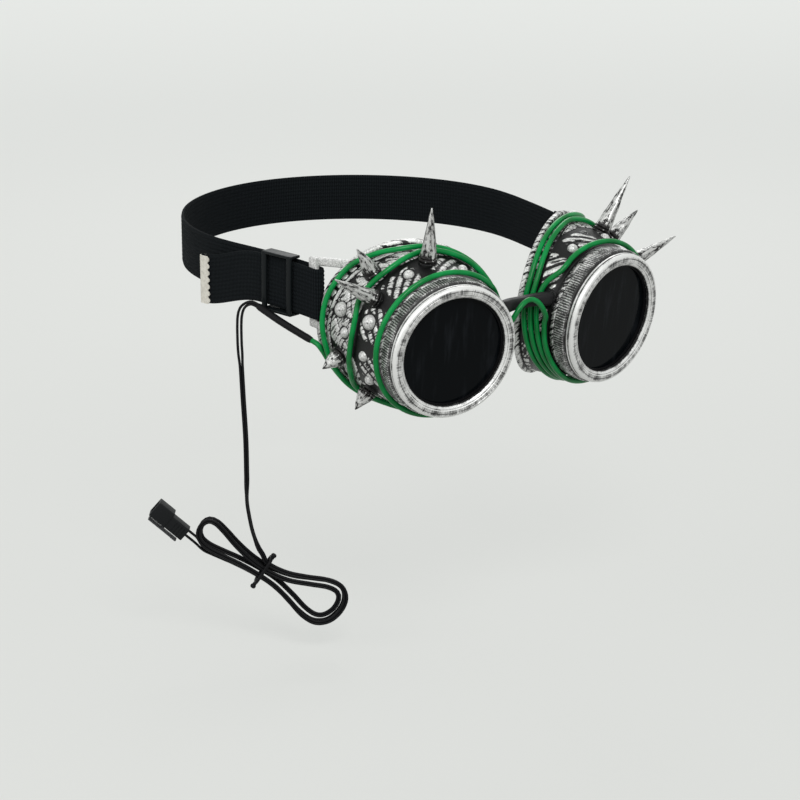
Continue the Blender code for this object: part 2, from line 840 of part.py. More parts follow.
def build_lens_unit(side, axis, looks):
    """Ring, gasket and lens, which sit on the cup's own axis."""
    name = SIDES[side]
    gasket_front = RING_LIP_REAR - GAP
    gasket_rear = gasket_front - GASKET_THICKNESS
    lens_front = gasket_rear - GAP
    lens_rear = lens_front - LENS_THICKNESS
    recess = LENS_RADIUS + RING_CLEARANCE
    grip_front = RING_FRONT - RING_GRIP_FRONT
    ring = [(OPENING_RADIUS, RING_LIP_REAR)]
    ring += [(OPENING_RADIUS + out, RING_FRONT - behind) for out, behind in RING_BEVEL]
    ring += [(RING_FACE_RADIUS - inset, RING_FRONT - behind) for inset, behind in RING_STEPS]
    ring += [
        (RING_RADIUS - RING_CHAMFER, grip_front),
        (RING_RADIUS, grip_front - RING_CHAMFER),
        (RING_RADIUS, RING_REAR + RING_CHAMFER),
        (RING_RADIUS - RING_CHAMFER, RING_REAR),
        (RING_BORE, RING_REAR),
        (RING_BORE, lens_rear),
        (recess, lens_rear),
        (recess, RING_LIP_REAR),
    ]
    lathe(f"{name}_lens_ring", ring, CUP_SEGMENTS, looks["ring"], parent=axis)
    inner = LENS_RADIUS - GASKET_WIDTH
    gasket = (
        (inner, gasket_front),
        (LENS_RADIUS, gasket_front),
        (LENS_RADIUS, gasket_rear),
        (inner, gasket_rear),
    )
    lathe(f"{name}_lens_gasket", gasket, LENS_SEGMENTS, looks["rubber"], parent=axis)
    lens = (
        (0, lens_front),
        (LENS_RADIUS - LENS_CHAMFER, lens_front),
        (LENS_RADIUS, lens_front - LENS_CHAMFER),
        (LENS_RADIUS, lens_rear),
        (0, lens_rear),
    )
    lathe(f"{name}_lens", lens, LENS_SEGMENTS, looks["lens"], parent=axis)


def build_bridge(looks):
    """The link between the cups, bowed at the middle."""
    ends = []
    for side in (LEFT, RIGHT):
        frame = cup_matrix(side) @ bridge_frame(side)
        out = frame.to_3x3().col[2].normalized()
        ends.append((frame @ Vector((0, 0, BRIDGE_PAD + GAP)), out, frame))
    (start, start_out, frame), (end, end_out, _) = ends
    middle = Vector(BRIDGE_MIDDLE)
    handle = BRIDGE_HANDLE
    tall = frame.to_3x3().col[0].normalized()
    deep = frame.to_3x3().col[1].normalized()
    rings = []
    for k in range(BRIDGE_STEPS + 1):
        t = k / BRIDGE_STEPS
        if t <= 0.5:
            u, a, b = 2 * t, start, middle
            c, d = start + start_out * handle, middle + Vector((handle, 0, 0))
        else:
            u, a, b = 2 * t - 1, middle, end
            c, d = middle - Vector((handle, 0, 0)), end + end_out * handle
        centre = a * (1 - u) ** 3 + c * 3 * u * (1 - u) ** 2 + d * 3 * u * u * (1 - u) + b * u**3
        mirror = Vector((-1, 1, 1))
        side_tall, side_deep = tall.copy(), deep.copy()
        if t > 0.5:
            side_tall, side_deep = tall * mirror, deep * mirror
        blend = math.sin(math.pi * t)
        across = (side_deep * math.copysign(1, side_deep.y)).lerp(Vector((0, 1, 0)), blend)
        upright = (side_tall * math.copysign(1, side_tall.z)).lerp(Vector((0, 0, 1)), blend)
        half_deep = BRIDGE_HALF_DEPTH + BRIDGE_MIDDLE_DEEPER * blend
        half_tall = BRIDGE_HALF_HEIGHT - BRIDGE_MIDDLE_LOWER * blend
        ring = []
        for j in range(BRIDGE_SEGMENTS):
            turn = math.tau * j / BRIDGE_SEGMENTS
            x = math.copysign(abs(math.cos(turn)) ** BRIDGE_SQUARENESS, math.cos(turn))
            y = math.copysign(abs(math.sin(turn)) ** BRIDGE_SQUARENESS, math.sin(turn))
            ring.append(centre + across * half_deep * x + upright * half_tall * y)
        rings.append(ring)
    bridge = loft("bridge", rings, looks["bridge"])
    holes = []
    for side in (LEFT, RIGHT):
        frame = cup_matrix(side) @ bridge_frame(side)
        depth = BRIDGE_PAD + GAP + BRIDGE_SCREW_REACH + 2 * GAP
        profile = ((0, 0), (SCREW_HOLE, 0), (SCREW_HOLE, depth), (0, depth))
        label = f"{SIDES[side]}_bridge_bore"
        holes.append(lathe(label, profile, BRIDGE_SEGMENTS, looks["bridge"], frame))
    combine(bridge, "DIFFERENCE", holes)


def wire_radius(angle, height):
    """Radius of the wire's middle on a cup; it rises where it crosses the rib."""
    turn = math.radians(angle)
    rib_middle = rim_depth(turn) - RIB_FROM_RIM + RIB_WIDTH / 2
    reach = RIB_WIDTH / 2 + WIRE_DIAMETER
    near = max(0.0, 1 - abs(-height - rib_middle) / reach)
    rise = rib_height(turn) * min(1.0, 2 * near)
    return max(cup_radius(-height) + WIRE_DIAMETER / 2 + WIRE_LIFT + rise, WIRE_LEAST_RADIUS)


def winding_stations(side):
    """All strands on a cup as one list of (turn, height), from the bridge to the entry."""
    strands = (
        STRAND_FRONT[side],
        STRAND_MIDDLE[side] + STRAND_MIDDLE_UNDER,
        STRAND_REAR[side] + STRAND_REAR_UNDER,
        STRAND_ENTRY,
    )
    stations = []
    for number, strand in enumerate(strands):
        under = []
        for angle, height in STRAND_UNDER_NOSE:
            under.append((angle, height - number * STRAND_PITCH))
        under.append((-180.0, NOSE_CROSSING[number]))
        for angle, height in reversed(strand + tuple(under)):
            stations.append((360.0 * number + angle, height))
    return stations


def winding(side):
    """The wire's middle on a cup, from under the bridge to the entry strand."""
    stations = winding_stations(side)
    first, last = stations[0][0], stations[-1][0]
    step = 360.0 / WIRE_POINTS_PER_TURN
    frame = cup_matrix(side)
    points = []
    for k in range(int((last - first) / step) + 1):
        turn = first + k * step
        height = read_curve(stations, turn)
        points.append(frame @ on_cup(side, turn, height, wire_radius(turn, height)))
    return points


def sleeve_path():
    """Middle of the heat-shrink sleeve, from the cup to the slider."""
    return smooth_path([strap_point(RIGHT, *p) for p in SLEEVE_ROUTE], SLEEVE_SPACING)


def wire_path():
    """The glowing wire: right cup's winding, the arch over the bridge, left cup's winding."""
    sleeve = sleeve_path()
    start = sleeve[0]
    inward = (sleeve[0] - sleeve[1]).normalized()
    entry = [start + inward * GAP, start + inward * (GAP + WIRE_DIAMETER)]
    right = list(reversed(winding(RIGHT)))
    left = winding(LEFT)
    frame = cup_matrix(RIGHT)
    over_rim = []
    for angle, height, above in WIRE_RIM_STEPS:
        over_rim.append(frame @ on_cup(RIGHT, angle, height, cup_radius(-height) + above))
    arch = smooth_path([right[-1], *[Vector(p) for p in ARCH], left[0]], ARCH_SPACING)
    path = entry + over_rim + right + arch[1:-1] + left
    along = (path[-1] - path[-2]).normalized()
    path.append(path[-1] + along * WIRE_DIAMETER)
    return path


def build_wire(looks):
    """The wire, its sealed end and the sleeve over its splice."""
    path = wire_path()
    tube("el_wire", path, WIRE_DIAMETER, looks["wire"], resolution=1)
    least = least_gap(path, WIRE_DIAMETER, 4)
    print(f"el_wire: {len(path)} points, least gap to itself {least:.2f} mm")
    along = (path[-1] - path[-2]).normalized()
    across = along.cross(Vector((0, 0, 1))).normalized()
    frame = Matrix((across, along.cross(across), along)).transposed().to_4x4()
    frame.translation = path[-1] + along * GAP
    radius = END_CAP_DIAMETER / 2
    cap = (
        (0, 0),
        (radius, 0),
        (radius, END_CAP_LENGTH - END_CAP_CHAMFER),
        (radius - END_CAP_CHAMFER, END_CAP_LENGTH),
        (0, END_CAP_LENGTH),
    )
    lathe("el_wire_end_cap", cap, 12, looks["rubber"], frame)
    tube("heat_shrink_sleeve", sleeve_path(), SLEEVE_DIAMETER, looks["rubber"])


def strap_droop(s):
    """How far the free end hangs below the layer under it."""
    t = max(0.0, min(1.0, (s - STRAP_DROOP_START) / (STRAP_FREE_END - STRAP_DROOP_START)))
    return STRAP_DROOP * t * t * (3 - 2 * t)


def strap_turn(side):
    """The strap's turn round the ear's bar, from the outer layer to the inner one."""
    centre = STRAP_TURN_FRONT + STRAP_THICKNESS / 2 + STRAP_LAYER
    points = []
    for k in range(9):
        turn = math.pi * k / 8
        s = centre - STRAP_LAYER * math.sin(turn)
        points.append(strap_point(side, s, STRAP_LAYER * math.cos(turn), strap_height(s)))
    return centre, points


def strap_quarter(side):
    """The strap's inner layer from the end of its straight stretch to the middle of the loop."""
    start = strap_point(side, STRAP_STRAIGHT, -STRAP_LAYER, 0)
    ahead = strap_point(side, STRAP_STRAIGHT + STRAP_SIDE_HANDLE, -STRAP_LAYER, 0)
    back = Vector((0, STRAP_BACK, 0))
    handle = back + Vector((side * STRAP_BACK_HANDLE, 0, 0))
    points = []
    length = STRAP_STRAIGHT
    before = start
    for k in range(1, 13):
        u = k / 12
        point = start * (1 - u) ** 3 + ahead * 3 * u * (1 - u) ** 2
        point += handle * 3 * u * u * (1 - u) + back * u**3
        length += (point.xy - before.xy).length
        before = point.copy()
        point.z = strap_height(length)
        points.append(point)
    return points


def strap_path():
    """Middle of the strap, from its sewn end at the left ear to its free end."""
    path = []
    centre, left_turn = strap_turn(LEFT)
    tail = centre + STRAP_FOLD_LENGTH
    sewn = -STRAP_LAYER + STRAP_THICKNESS + GAP
    clear = EAR_BAR_FRONT + EAR_BAR_WIDTH + 1.0
    for k in range(7):
        s = tail + (centre - tail) * k / 6
        t = min(1.0, (tail - s) / (tail - clear))
        ease = t * t * (3 - 2 * t)
        off = sewn + (STRAP_LAYER - sewn) * ease
        path.append(strap_point(LEFT, s, off, strap_height(s)))
    path += left_turn[1:]
    straight = []
    for k in range(1, 7):
        s = centre + (STRAP_STRAIGHT - centre) * k / 6
        straight.append(s)
    path += [strap_point(LEFT, s, -STRAP_LAYER, strap_height(s)) for s in straight]
    path += strap_quarter(LEFT)
    path += list(reversed(strap_quarter(RIGHT)))[1:]
    path += [strap_point(RIGHT, s, -STRAP_LAYER, strap_height(s)) for s in reversed(straight)]
    centre, right_turn = strap_turn(RIGHT)
    path += list(reversed(right_turn))
    for k in range(1, 13):
        s = centre + (STRAP_FREE_END - centre) * k / 12
        height = strap_height(s) - strap_droop(s)
        path.append(strap_point(RIGHT, s, STRAP_LAYER, height))
    return path


def build_strap(looks):
    """One length of elastic webbing."""
    path = strap_path()
    rings = []
    for i, point in enumerate(path):
        along = path[min(i + 1, len(path) - 1)] - path[max(i - 1, 0)]
        out = Vector((along.y, -along.x, 0)).normalized() * STRAP_THICKNESS / 2
        up = Vector((0, 0, STRAP_WIDTH / 2))
        rings.append([point - out - up, point + out - up, point + out + up, point - out + up])
    loft("strap", rings, looks["webbing"])


def slider_frame():
    """Slider frame: X along the strap, Y outward and Z up."""
    low = strap_point(RIGHT, SLIDER_CENTRE - 1, 0, strap_height(SLIDER_CENTRE - 1))
    high = strap_point(RIGHT, SLIDER_CENTRE + 1, 0, strap_height(SLIDER_CENTRE + 1))
    along = (high - low).normalized()
    out = (strap_point(RIGHT, 0, 1, 0) - strap_point(RIGHT, 0, 0, 0)).normalized()
    frame = Matrix((along, out, along.cross(out))).transposed().to_4x4()
    frame.translation = strap_point(RIGHT, SLIDER_CENTRE, 0, strap_height(SLIDER_CENTRE))
    return frame


def build_slider(looks):
    """A three-bar slider: the strap's outer layer passes under, over and under its bars."""
    frame = slider_frame() @ Matrix.Rotation(math.radians(SLIDER_TILT), 4, "Y")
    half_length = SLIDER_LENGTH / 2
    inside = SLIDER_INNER_HEIGHT / 2
    outside = inside + SLIDER_RAIL
    outer_face = STRAP_LAYER + STRAP_THICKNESS / 2
    bar_low = outer_face + SLIDER_STRAP_GAP
    bar_high = bar_low + SLIDER_BAR_THICKNESS
    inner = STRAP_LAYER - STRAP_THICKNESS / 2 - SLIDER_STRAP_GAP
    middle = SLIDER_MIDDLE_HALF
    look = looks["slider"]
    slider = box(
        "strap_slider", (-half_length, -inner, inside), (half_length, bar_high, outside), look, frame
    )
    others = [
        box(
            "slider_rail",
            (-half_length, -inner, -outside),
            (half_length, bar_high, -inside),
            look,
            frame,
        ),
        box("slider_middle", (-middle, -inner, -outside), (middle, inner, outside), look, frame),
    ]
    for end in (-1, 1):
        x0, x1 = sorted((end * half_length, end * (half_length - SLIDER_BAR)))
        others.append(
            box("slider_bar", (x0, bar_low, -outside), (x1, bar_high, outside), look, frame)
        )
    combine(slider, "UNION", others)


def build_clamp(looks):
    """A toothed sheet clamp folded over the strap's free end."""
    s_end = STRAP_FREE_END + GAP + CLAMP_SHEET
    s_front = s_end - CLAMP_LENGTH
    middle = strap_height(s_front) - STRAP_DROOP
    along = strap_point(RIGHT, 1, 0, 0) - strap_point(RIGHT, 0, 0, 0)
    out = strap_point(RIGHT, 0, 1, 0) - strap_point(RIGHT, 0, 0, 0)
    frame = Matrix((along, Vector((0, 0, 1)), -out)).transposed().to_4x4()
    frame.translation = strap_point(RIGHT, s_front, STRAP_LAYER, middle)
    half = STRAP_WIDTH / 2 - CLAMP_EDGE_INSET
    outline = [(CLAMP_LENGTH, -half), (CLAMP_LENGTH, half)]
    for k in range(CLAMP_TEETH):
        top = half - 2 * half * k / CLAMP_TEETH
        step = 2 * half / CLAMP_TEETH
        outline += [(CLAMP_TOOTH, top), (0.0, top - step * 0.35), (0.0, top - step * 0.65)]
    outline.append((CLAMP_TOOTH, -half))
    inner = STRAP_THICKNESS / 2 + GAP
    outer = inner + CLAMP_SHEET
    look = looks["clamp"]
    clamp = prism("strap_end_clamp", outline, inner, outer, look, frame)
    other = prism("clamp_rear_sheet", outline, -outer, -inner, look, frame)
    low = (CLAMP_LENGTH - CLAMP_SHEET, -half, -outer + OVERLAP)
    web = box("clamp_web", low, (CLAMP_LENGTH, half, outer - OVERLAP), look, frame)
    combine(clamp, "UNION", [other, web])


def hank_frame():
    """Hank frame: X along the runs, Z towards the front right, where it is seen from."""
    tilt, yaw = math.radians(HANK_TILT), math.radians(VIEW_YAW)
    level = Vector((math.cos(yaw), -math.sin(yaw), 0))
    up = Vector((0, 0, 1))
    along = level * math.cos(tilt) - up * math.sin(tilt)
    across = level * math.sin(tilt) + up * math.cos(tilt)
    frame = Matrix((along, across, along.cross(across))).transposed().to_4x4()
    frame.translation = Vector(HANK_CENTRE)
    return frame


def hank_curve(turn):
    """The hank's middle loop at a turn: 0 is the waist, heading for the right-hand lobe."""
    phi = math.pi / 2 - math.tau * turn
    c, s = math.cos(phi), math.sin(phi)
    lobe = HANK_LOBE + HANK_LOBE_UNLIKE * c
    fullness = abs(c) ** (2.3 - 0.5 * c)
    x = (HANK_HALF_LENGTH + HANK_LENGTH_UNLIKE * c) * c
    y = s * (HANK_WAIST + (lobe - HANK_WAIST) * fullness) + HANK_BOW * c * c
    return Vector((x, y, 0))


def hank_point(turn):
    """The lead's middle in the hank: it spirals in on the near layer and out on the far one."""
    reverse = HANK_TURNS / 2
    inward = turn if turn < reverse else HANK_TURNS - turn
    offset = HANK_STEP * (reverse / 2 - inward)
    nudge = 0.002
    along = (hank_curve(turn + nudge) - hank_curve(turn - nudge)).normalized()
    outward = Vector((-along.y, along.x, 0))
    climb = max(0.0, min(1.0, (turn - reverse) / HANK_CLIMB_TURNS + 0.5))
    layer = HANK_LAYER * (0.5 - climb * climb * (3 - 2 * climb))
    return hank_curve(turn) + outward * offset + Vector((0, 0, layer))


def hank_path():
    """The hank's middle with its two straight ends."""
    count = round(HANK_POINTS_PER_TURN * HANK_TURNS)
    points = [hank_point(HANK_TURNS * k / count) for k in range(count + 1)]
    arriving = Vector((*LEAD_INTO_HANK[-1], points[0].z))
    into = (points[0] - arriving).normalized()
    tail = smooth_path([points[-2], points[-1], *[Vector(p) for p in HANK_TAIL]], 4.0)
    points = [points[0] - into * LEAD_DIAMETER] + points[:-1] + tail[1:]
    out = (points[-1] - points[-2]).normalized()
    points.append(points[-1] + out * LEAD_DIAMETER)
    frame = hank_frame()
    return [frame @ p for p in points]


def lead_path(hank):
    """The lead's hanging stretch, from the sleeve to the hank."""
    sleeve = sleeve_path()
    leave = (sleeve[-1] - sleeve[-2]).normalized()
    arrive = (hank[1] - hank[0]).normalized()
    start = sleeve[-1] + leave * GAP
    end = hank[0] - arrive * GAP
    frame = hank_frame()
    near = HANK_LAYER / 2
    stations = [start]
    stations += [strap_point(RIGHT, s, LEAD_OFF, z) for s, z in LEAD_ARC]
    stations += [Vector(p) for p in LEAD_DROP]
    stations += [frame @ Vector((x, y, near)) for x, y in LEAD_INTO_HANK]
    stations += [end - arrive * LEAD_DIAMETER, end]
    return smooth_path(stations, 2.4 * LEAD_DIAMETER)


def tie_outline():
    """The tie's middle round the hank's waist, as a rounded rectangle in YZ."""
    half_y, half_z = TIE_HALF
    corner = TIE_CORNER
    points = []
    for quarter in range(4):
        sign_y = 1 if quarter in (0, 3) else -1
        sign_z = 1 if quarter in (0, 1) else -1
        for k in range(4):
            turn = math.pi / 2 * (quarter + k / 3)
            y = sign_y * (half_y - corner) + corner * math.cos(turn)
            z = sign_z * (half_z - corner) + corner * math.sin(turn)
            points.append(Vector((0, y + TIE_SHIFT, z)))
    return points


def build_tie(looks):
    """The tie round the hank's waist, with its two knobs."""
    frame = hank_frame()
    path = tie_outline()
    rings = []
    for i, point in enumerate(path):
        along = (path[(i + 1) % len(path)] - path[i - 1]).normalized()
        out = Vector((1, 0, 0))
        side = along.cross(out)
        ring = []
        for j in range(TIE_SEGMENTS):
            turn = math.tau * j / TIE_SEGMENTS
            ring.append(point + (out * math.cos(turn) + side * math.sin(turn)) * TIE_DIAMETER / 2)
        rings.append(ring)
    tie = loft("hank_tie", rings, looks["rubber"], frame, closed=True)
    knobs = []
    across = Vector((1, 0, 0))
    for end in (-1, 1):
        direction = Vector((0, end, 0))
        turned = Matrix((across, direction.cross(across), direction)).transposed().to_4x4()
        turned.translation = Vector((0, TIE_SHIFT + end * TIE_HALF[0], KNOB_HEIGHT))
        knobs.append(lathe("tie_knob", KNOB_PROFILE, 10, looks["rubber"], frame @ turned))
    combine(tie, "UNION", knobs)


def connector_frame(hank):
    """Connector frame: X towards its mating end, Y towards its latch."""
    along = (hank[-1] - hank[-2]).normalized()
    view = hank_frame().to_3x3().col[2].normalized()
    frame = Matrix((along, view.cross(along), view)).transposed().to_4x4()
    frame.translation = hank[-1] + along * GAP
    return frame


def build_connector(hank, looks):
    """The two-way plug: housing, latch and its two contacts."""
    frame = connector_frame(hank)
    look = looks["connector"]
    rear_y, rear_z = PLUG_REAR[1] / 2, PLUG_REAR[2] / 2
    front_low, front_z = rear_y - PLUG_FRONT[1], PLUG_FRONT[2] / 2
    length = PLUG_REAR[0] + PLUG_FRONT[0]
    front_high = rear_y + OVERLAP
    rear_end = PLUG_REAR[0] + OVERLAP
    housing = box(
        "connector_housing", (0, -rear_y, -rear_z), (rear_end, rear_y, rear_z), look, frame
    )
    low, high = (PLUG_REAR[0], front_low, -front_z), (length, front_high, front_z)
    front = box("housing_front", low, high, look, frame)
    combine(housing, "UNION", [front])
    wall = PLUG_WALL
    floor = PLUG_REAR[0] + PLUG_SOCKET_FLOOR
    middle = (front_low + rear_y) / 2
    low = (floor, front_low + wall, -front_z + wall)
    high = (length + wall, front_high - wall, front_z - wall)
    cuts = [box("housing_socket", low, high, look, frame)]
    for number, way in enumerate((-1, 1), 1):
        turned = Matrix(((0, 0, 1), (0, 1, 0), (-1, 0, 0))).to_4x4()
        shift = Matrix.Translation(Vector((0, middle + way * PLUG_PITCH / 2, 0)))
        at = frame @ shift @ turned
        bore = ((0, -wall), (PLUG_BORE, -wall), (PLUG_BORE, floor + wall), (0, floor + wall))
        cuts.append(lathe("housing_bore", bore, 12, look, at))
        barrel = PLUG_BORE - GAP
        tip = length - PIN_SHORT
        pin = (
            (0, PIN_START),
            (barrel, PIN_START),
            (barrel, PLUG_REAR[0]),
            (PIN_RADIUS, PLUG_REAR[0] + PIN_SHOULDER),
            (PIN_RADIUS, tip - PIN_POINT),
            (PIN_RADIUS / 2, tip),
            (0, tip),
        )
        lathe(f"connector_contact_{number}", pin, 12, looks["brass"], at)
    combine(housing, "DIFFERENCE", cuts)
    pivot = frame @ Matrix.Translation(Vector((PLUG_REAR[0], rear_y + LATCH_PIVOT, 0)))
    plate = LATCH_GAP - LATCH_PIVOT
    front_reach = PLUG_FRONT[0] - LATCH_FRONT_SHORT
    rear_reach = PLUG_REAR[0] - LATCH_REAR_SHORT
    half = LATCH_WIDTH / 2
    low, high = (-rear_reach, plate, -half), (front_reach, plate + LATCH_THICKNESS, half)
    latch = box("connector_latch", low, high, look, pivot)
    foot = LATCH_PIVOT_HALF
    low = (-foot, OVERLAP + GAP - LATCH_PIVOT, -half)
    web = box("latch_web", low, (foot, plate + OVERLAP, half), look, pivot)
    low = (front_reach - LATCH_HOOK_LENGTH, plate - LATCH_HOOK_DEPTH, -half)
    hook = box("latch_hook", low, (front_reach, plate + OVERLAP, half), look, pivot)
    combine(latch, "UNION", [web, hook])


def main():
    """Build every piece."""
    clear_scene()
    looks = {
        "cup": material("antique_silver_dark", (0.20, 0.20, 0.20), 0.45, 0.6),
        "ring": material("antique_silver_light", (0.55, 0.55, 0.55), 0.42, 0.6),
        "spike": material("antique_silver_spike", (0.42, 0.42, 0.42), 0.38, 0.7),
        "lens": material("smoked_lens", (0.01, 0.01, 0.012), 0.08),
        "rubber": material("black_rubber", (0.012, 0.012, 0.012), 0.6),
        "steel": material("screw_steel", (0.5, 0.5, 0.5), 0.35, 1.0),
        "bridge": material("bridge_black", (0.02, 0.02, 0.02), 0.45, 0.2),
        "wire": material("green_wire", (0.0, 0.30, 0.07), 0.35),
        "webbing": material("black_webbing", (0.012, 0.014, 0.015), 0.9),
        "slider": material("slider_black", (0.02, 0.022, 0.025), 0.4),
        "clamp": material("clamp_plate", (0.62, 0.60, 0.54), 0.35, 0.3),
        "lead": material("lead_black", (0.008, 0.008, 0.009), 0.4),
        "connector": material("connector_black", (0.015, 0.016, 0.018), 0.45),
        "brass": material("contact_brass", (0.70, 0.52, 0.25), 0.3, 1.0),
    }
    for side in (RIGHT, LEFT):
        axis = bpy.data.objects.new(f"{SIDES[side]}_cup_axis", None)
        bpy.context.scene.collection.objects.link(axis)
        place(axis, cup_matrix(side))
        build_cup(side, axis, looks)
        build_lens_unit(side, axis, looks)
    build_bridge(looks)
    build_wire(looks)
    build_strap(looks)
    build_slider(looks)
    build_clamp(looks)
    hank = hank_path()
    tube("lead_hank", hank, LEAD_DIAMETER, looks["lead"], resolution=1)
    least = least_gap(hank, LEAD_DIAMETER, 5)
    print(f"lead_hank: {len(hank)} points, least gap to itself {least:.2f} mm")
    tube("lead", lead_path(hank), LEAD_DIAMETER, looks["lead"])
    build_tie(looks)
    build_connector(hank, looks)


main()
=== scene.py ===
"""The finished look of the costume goggles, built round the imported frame.

Sizes are in millimetres, and MM turns them into the frame's metres.
The shapes follow the same driving dimensions as the solids that they stand for.
"""

import json
import math

import bmesh
import bpy
from mathutils import Matrix, Vector, noise

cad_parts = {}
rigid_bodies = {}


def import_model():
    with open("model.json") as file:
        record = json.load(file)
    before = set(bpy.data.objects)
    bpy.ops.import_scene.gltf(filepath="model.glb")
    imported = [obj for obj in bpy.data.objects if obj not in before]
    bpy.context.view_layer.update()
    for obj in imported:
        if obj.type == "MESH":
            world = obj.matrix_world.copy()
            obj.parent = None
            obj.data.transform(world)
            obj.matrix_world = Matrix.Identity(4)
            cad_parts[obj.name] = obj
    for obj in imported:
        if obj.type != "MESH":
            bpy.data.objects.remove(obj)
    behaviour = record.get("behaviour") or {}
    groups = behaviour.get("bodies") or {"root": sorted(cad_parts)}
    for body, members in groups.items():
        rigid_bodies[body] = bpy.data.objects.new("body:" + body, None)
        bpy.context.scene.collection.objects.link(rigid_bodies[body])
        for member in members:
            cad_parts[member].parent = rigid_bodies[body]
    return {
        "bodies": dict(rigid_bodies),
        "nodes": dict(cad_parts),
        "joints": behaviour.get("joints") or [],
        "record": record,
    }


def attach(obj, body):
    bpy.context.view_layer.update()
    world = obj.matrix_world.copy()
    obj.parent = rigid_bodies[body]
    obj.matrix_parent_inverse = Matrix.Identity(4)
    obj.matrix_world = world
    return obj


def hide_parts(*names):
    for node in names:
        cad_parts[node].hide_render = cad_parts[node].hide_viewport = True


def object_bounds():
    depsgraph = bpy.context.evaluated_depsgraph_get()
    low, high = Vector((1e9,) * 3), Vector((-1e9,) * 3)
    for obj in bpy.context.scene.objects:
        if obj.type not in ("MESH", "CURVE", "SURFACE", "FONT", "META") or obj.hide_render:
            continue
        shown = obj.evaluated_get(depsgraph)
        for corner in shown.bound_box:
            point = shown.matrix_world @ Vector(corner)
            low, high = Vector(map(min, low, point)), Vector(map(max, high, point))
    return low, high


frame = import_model()
cad_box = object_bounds()

MM = 0.001
RIGHT, LEFT = -1, 1
SIDES = {RIGHT: "right", LEFT: "left"}
GAP = 0.3
UP = Vector((0, 0, 1))

# Camera: place, pitch and yaw of the photograph's view, in millimetres and degrees
CAMERA_PLACE = (-669.6, -779.5, 271.2)
CAMERA_PITCH = 73.09
CAMERA_YAW = -37.76
CAMERA_LENS = 112.5
FLOOR_DROP = 14.0
FLOOR_HALF = 6000.0

# Lens and its gasket
LENS_RADIUS = 25.0
LENS_THICKNESS = 2.0
LENS_LAP = 1.0
GASKET_WIDTH = 1.7
GASKET_THICKNESS = 0.8
OPENING_RADIUS = LENS_RADIUS - LENS_LAP

# Ring that screws over the cup's spigot
RING_BORE = LENS_RADIUS + 2.1
RING_WALL = 2.9
RING_RADIUS = RING_BORE + RING_WALL
RING_FACE_RADIUS = RING_RADIUS - 0.9
RING_FRONT = 1.5
RING_REAR = -8.4
RING_LIP_REAR = -0.8
RING_CLEARANCE = 0.4
KNURLS = 168
KNURL_DEPTH = 0.28
THREAD_PITCH = 3.0
THREAD_HEIGHT = 0.25

# Cups
CUP_HALF_SPACING = 44.1
CUP_FORWARD = 8.5
CUP_DROP = 10.0
CUP_YAW = 8.73
CUP_PITCH = 7.35
CUP_SEGMENTS = 240
CUP_WALL = 2.4
CUP_NECK_RADIUS = RING_RADIUS - 0.4
CUP_NECK_LENGTH = 11.5
CUP_FLARE = ((11.0, 0.0), (25.0, 3.4), (38.0, 5.4), (50.0, 6.4))
RIM_MEAN_DEPTH = 39.0
RIM_SLANT = 12.5
RIM_FLANGE = 1.6
RIM_FLANGE_WIDTH = 2.2
RIB_HEIGHT = 0.7
RIB_FROM_RIM = 8.6
RIB_WIDTH = 1.4

# Spikes: angle from the outer side over the top, depth, length, and two leans in degrees
SPIKE_BASE_RADIUS = 4.0
SPIKE_PAD = 0.7
SCREW_RADIUS = 1.05
SCREW_HOLE = 1.4
SCREW_HEAD_RADIUS = 2.5
SCREW_HEAD_HEIGHT = 1.5
SCREW_HEAD_CLEARANCE = 0.4
SCREW_END_GAP = 0.8
SCREW_SEAT = 0.6
SPIKE_BORE_LENGTH = 5.0
LOWER_SPIKES = ((-17.5, -36.4, 10.5, 7.7, -9.2), (-46.5, -28.1, 10.8, 3.2, -4.2))
SPIKES = {
    RIGHT: (
        (85.0, -21.7, 24.4, 2.1, 4.2), (49.0, -32.2, 15.4, 1.9, 5.7), (35.5, -22.0, 22.7, -0.6, -5.7),
        *LOWER_SPIKES,
    ),
    LEFT: (
        (60.5, -25.0, 28.5, 2.9, -0.9), (45.9, -25.2, 20.0, 9.2, -4.3), (30.8, -15.2, 27.6, 12.2, -8.4),
        *LOWER_SPIKES,
    ),
}

# Rivet domes: angle, depth, radius
DOMES = (
    (18.5, -19.6, 3.3), (16.0, -37.6, 3.3), (2.0, -32.5, 2.4), (-9.5, -20.5, 2.4),
    (-32.0, -21.5, 2.4), (66.0, -19.5, 2.4), (112.0, -17.5, 2.4),
)
DOME_SINK = 0.6

# Bridge
BRIDGE_ANGLE = 160.0
BRIDGE_DEPTH = -12.8
BRIDGE_HALF_DEPTH = 2.2
BRIDGE_HALF_HEIGHT = 3.1
BRIDGE_MIDDLE_DEEPER = 0.8
BRIDGE_MIDDLE_LOWER = 0.6
BRIDGE_PAD = 0.8
BRIDGE_MIDDLE = (0.0, 1.9, 2.0)
BRIDGE_HANDLE = 4.5
BRIDGE_SCREW_REACH = 3.0
BRIDGE_SQUARENESS = 0.72

# Glowing wire
WIRE_DIAMETER = 2.3
WIRE_LIFT = 0.65
WIRE_LEAST_RADIUS = CUP_NECK_RADIUS + 2.15
WIRE_POINTS_PER_TURN = 24
WIRE_RIM_STEPS = ((-15.0, -47.7, 3.3), (-19.5, -46.8, 2.5))
ARCH_SPACING = 4.5
END_CAP_DIAMETER = 2.9
END_CAP_LENGTH = 6.0
SLEEVE_SPACING = 5.0

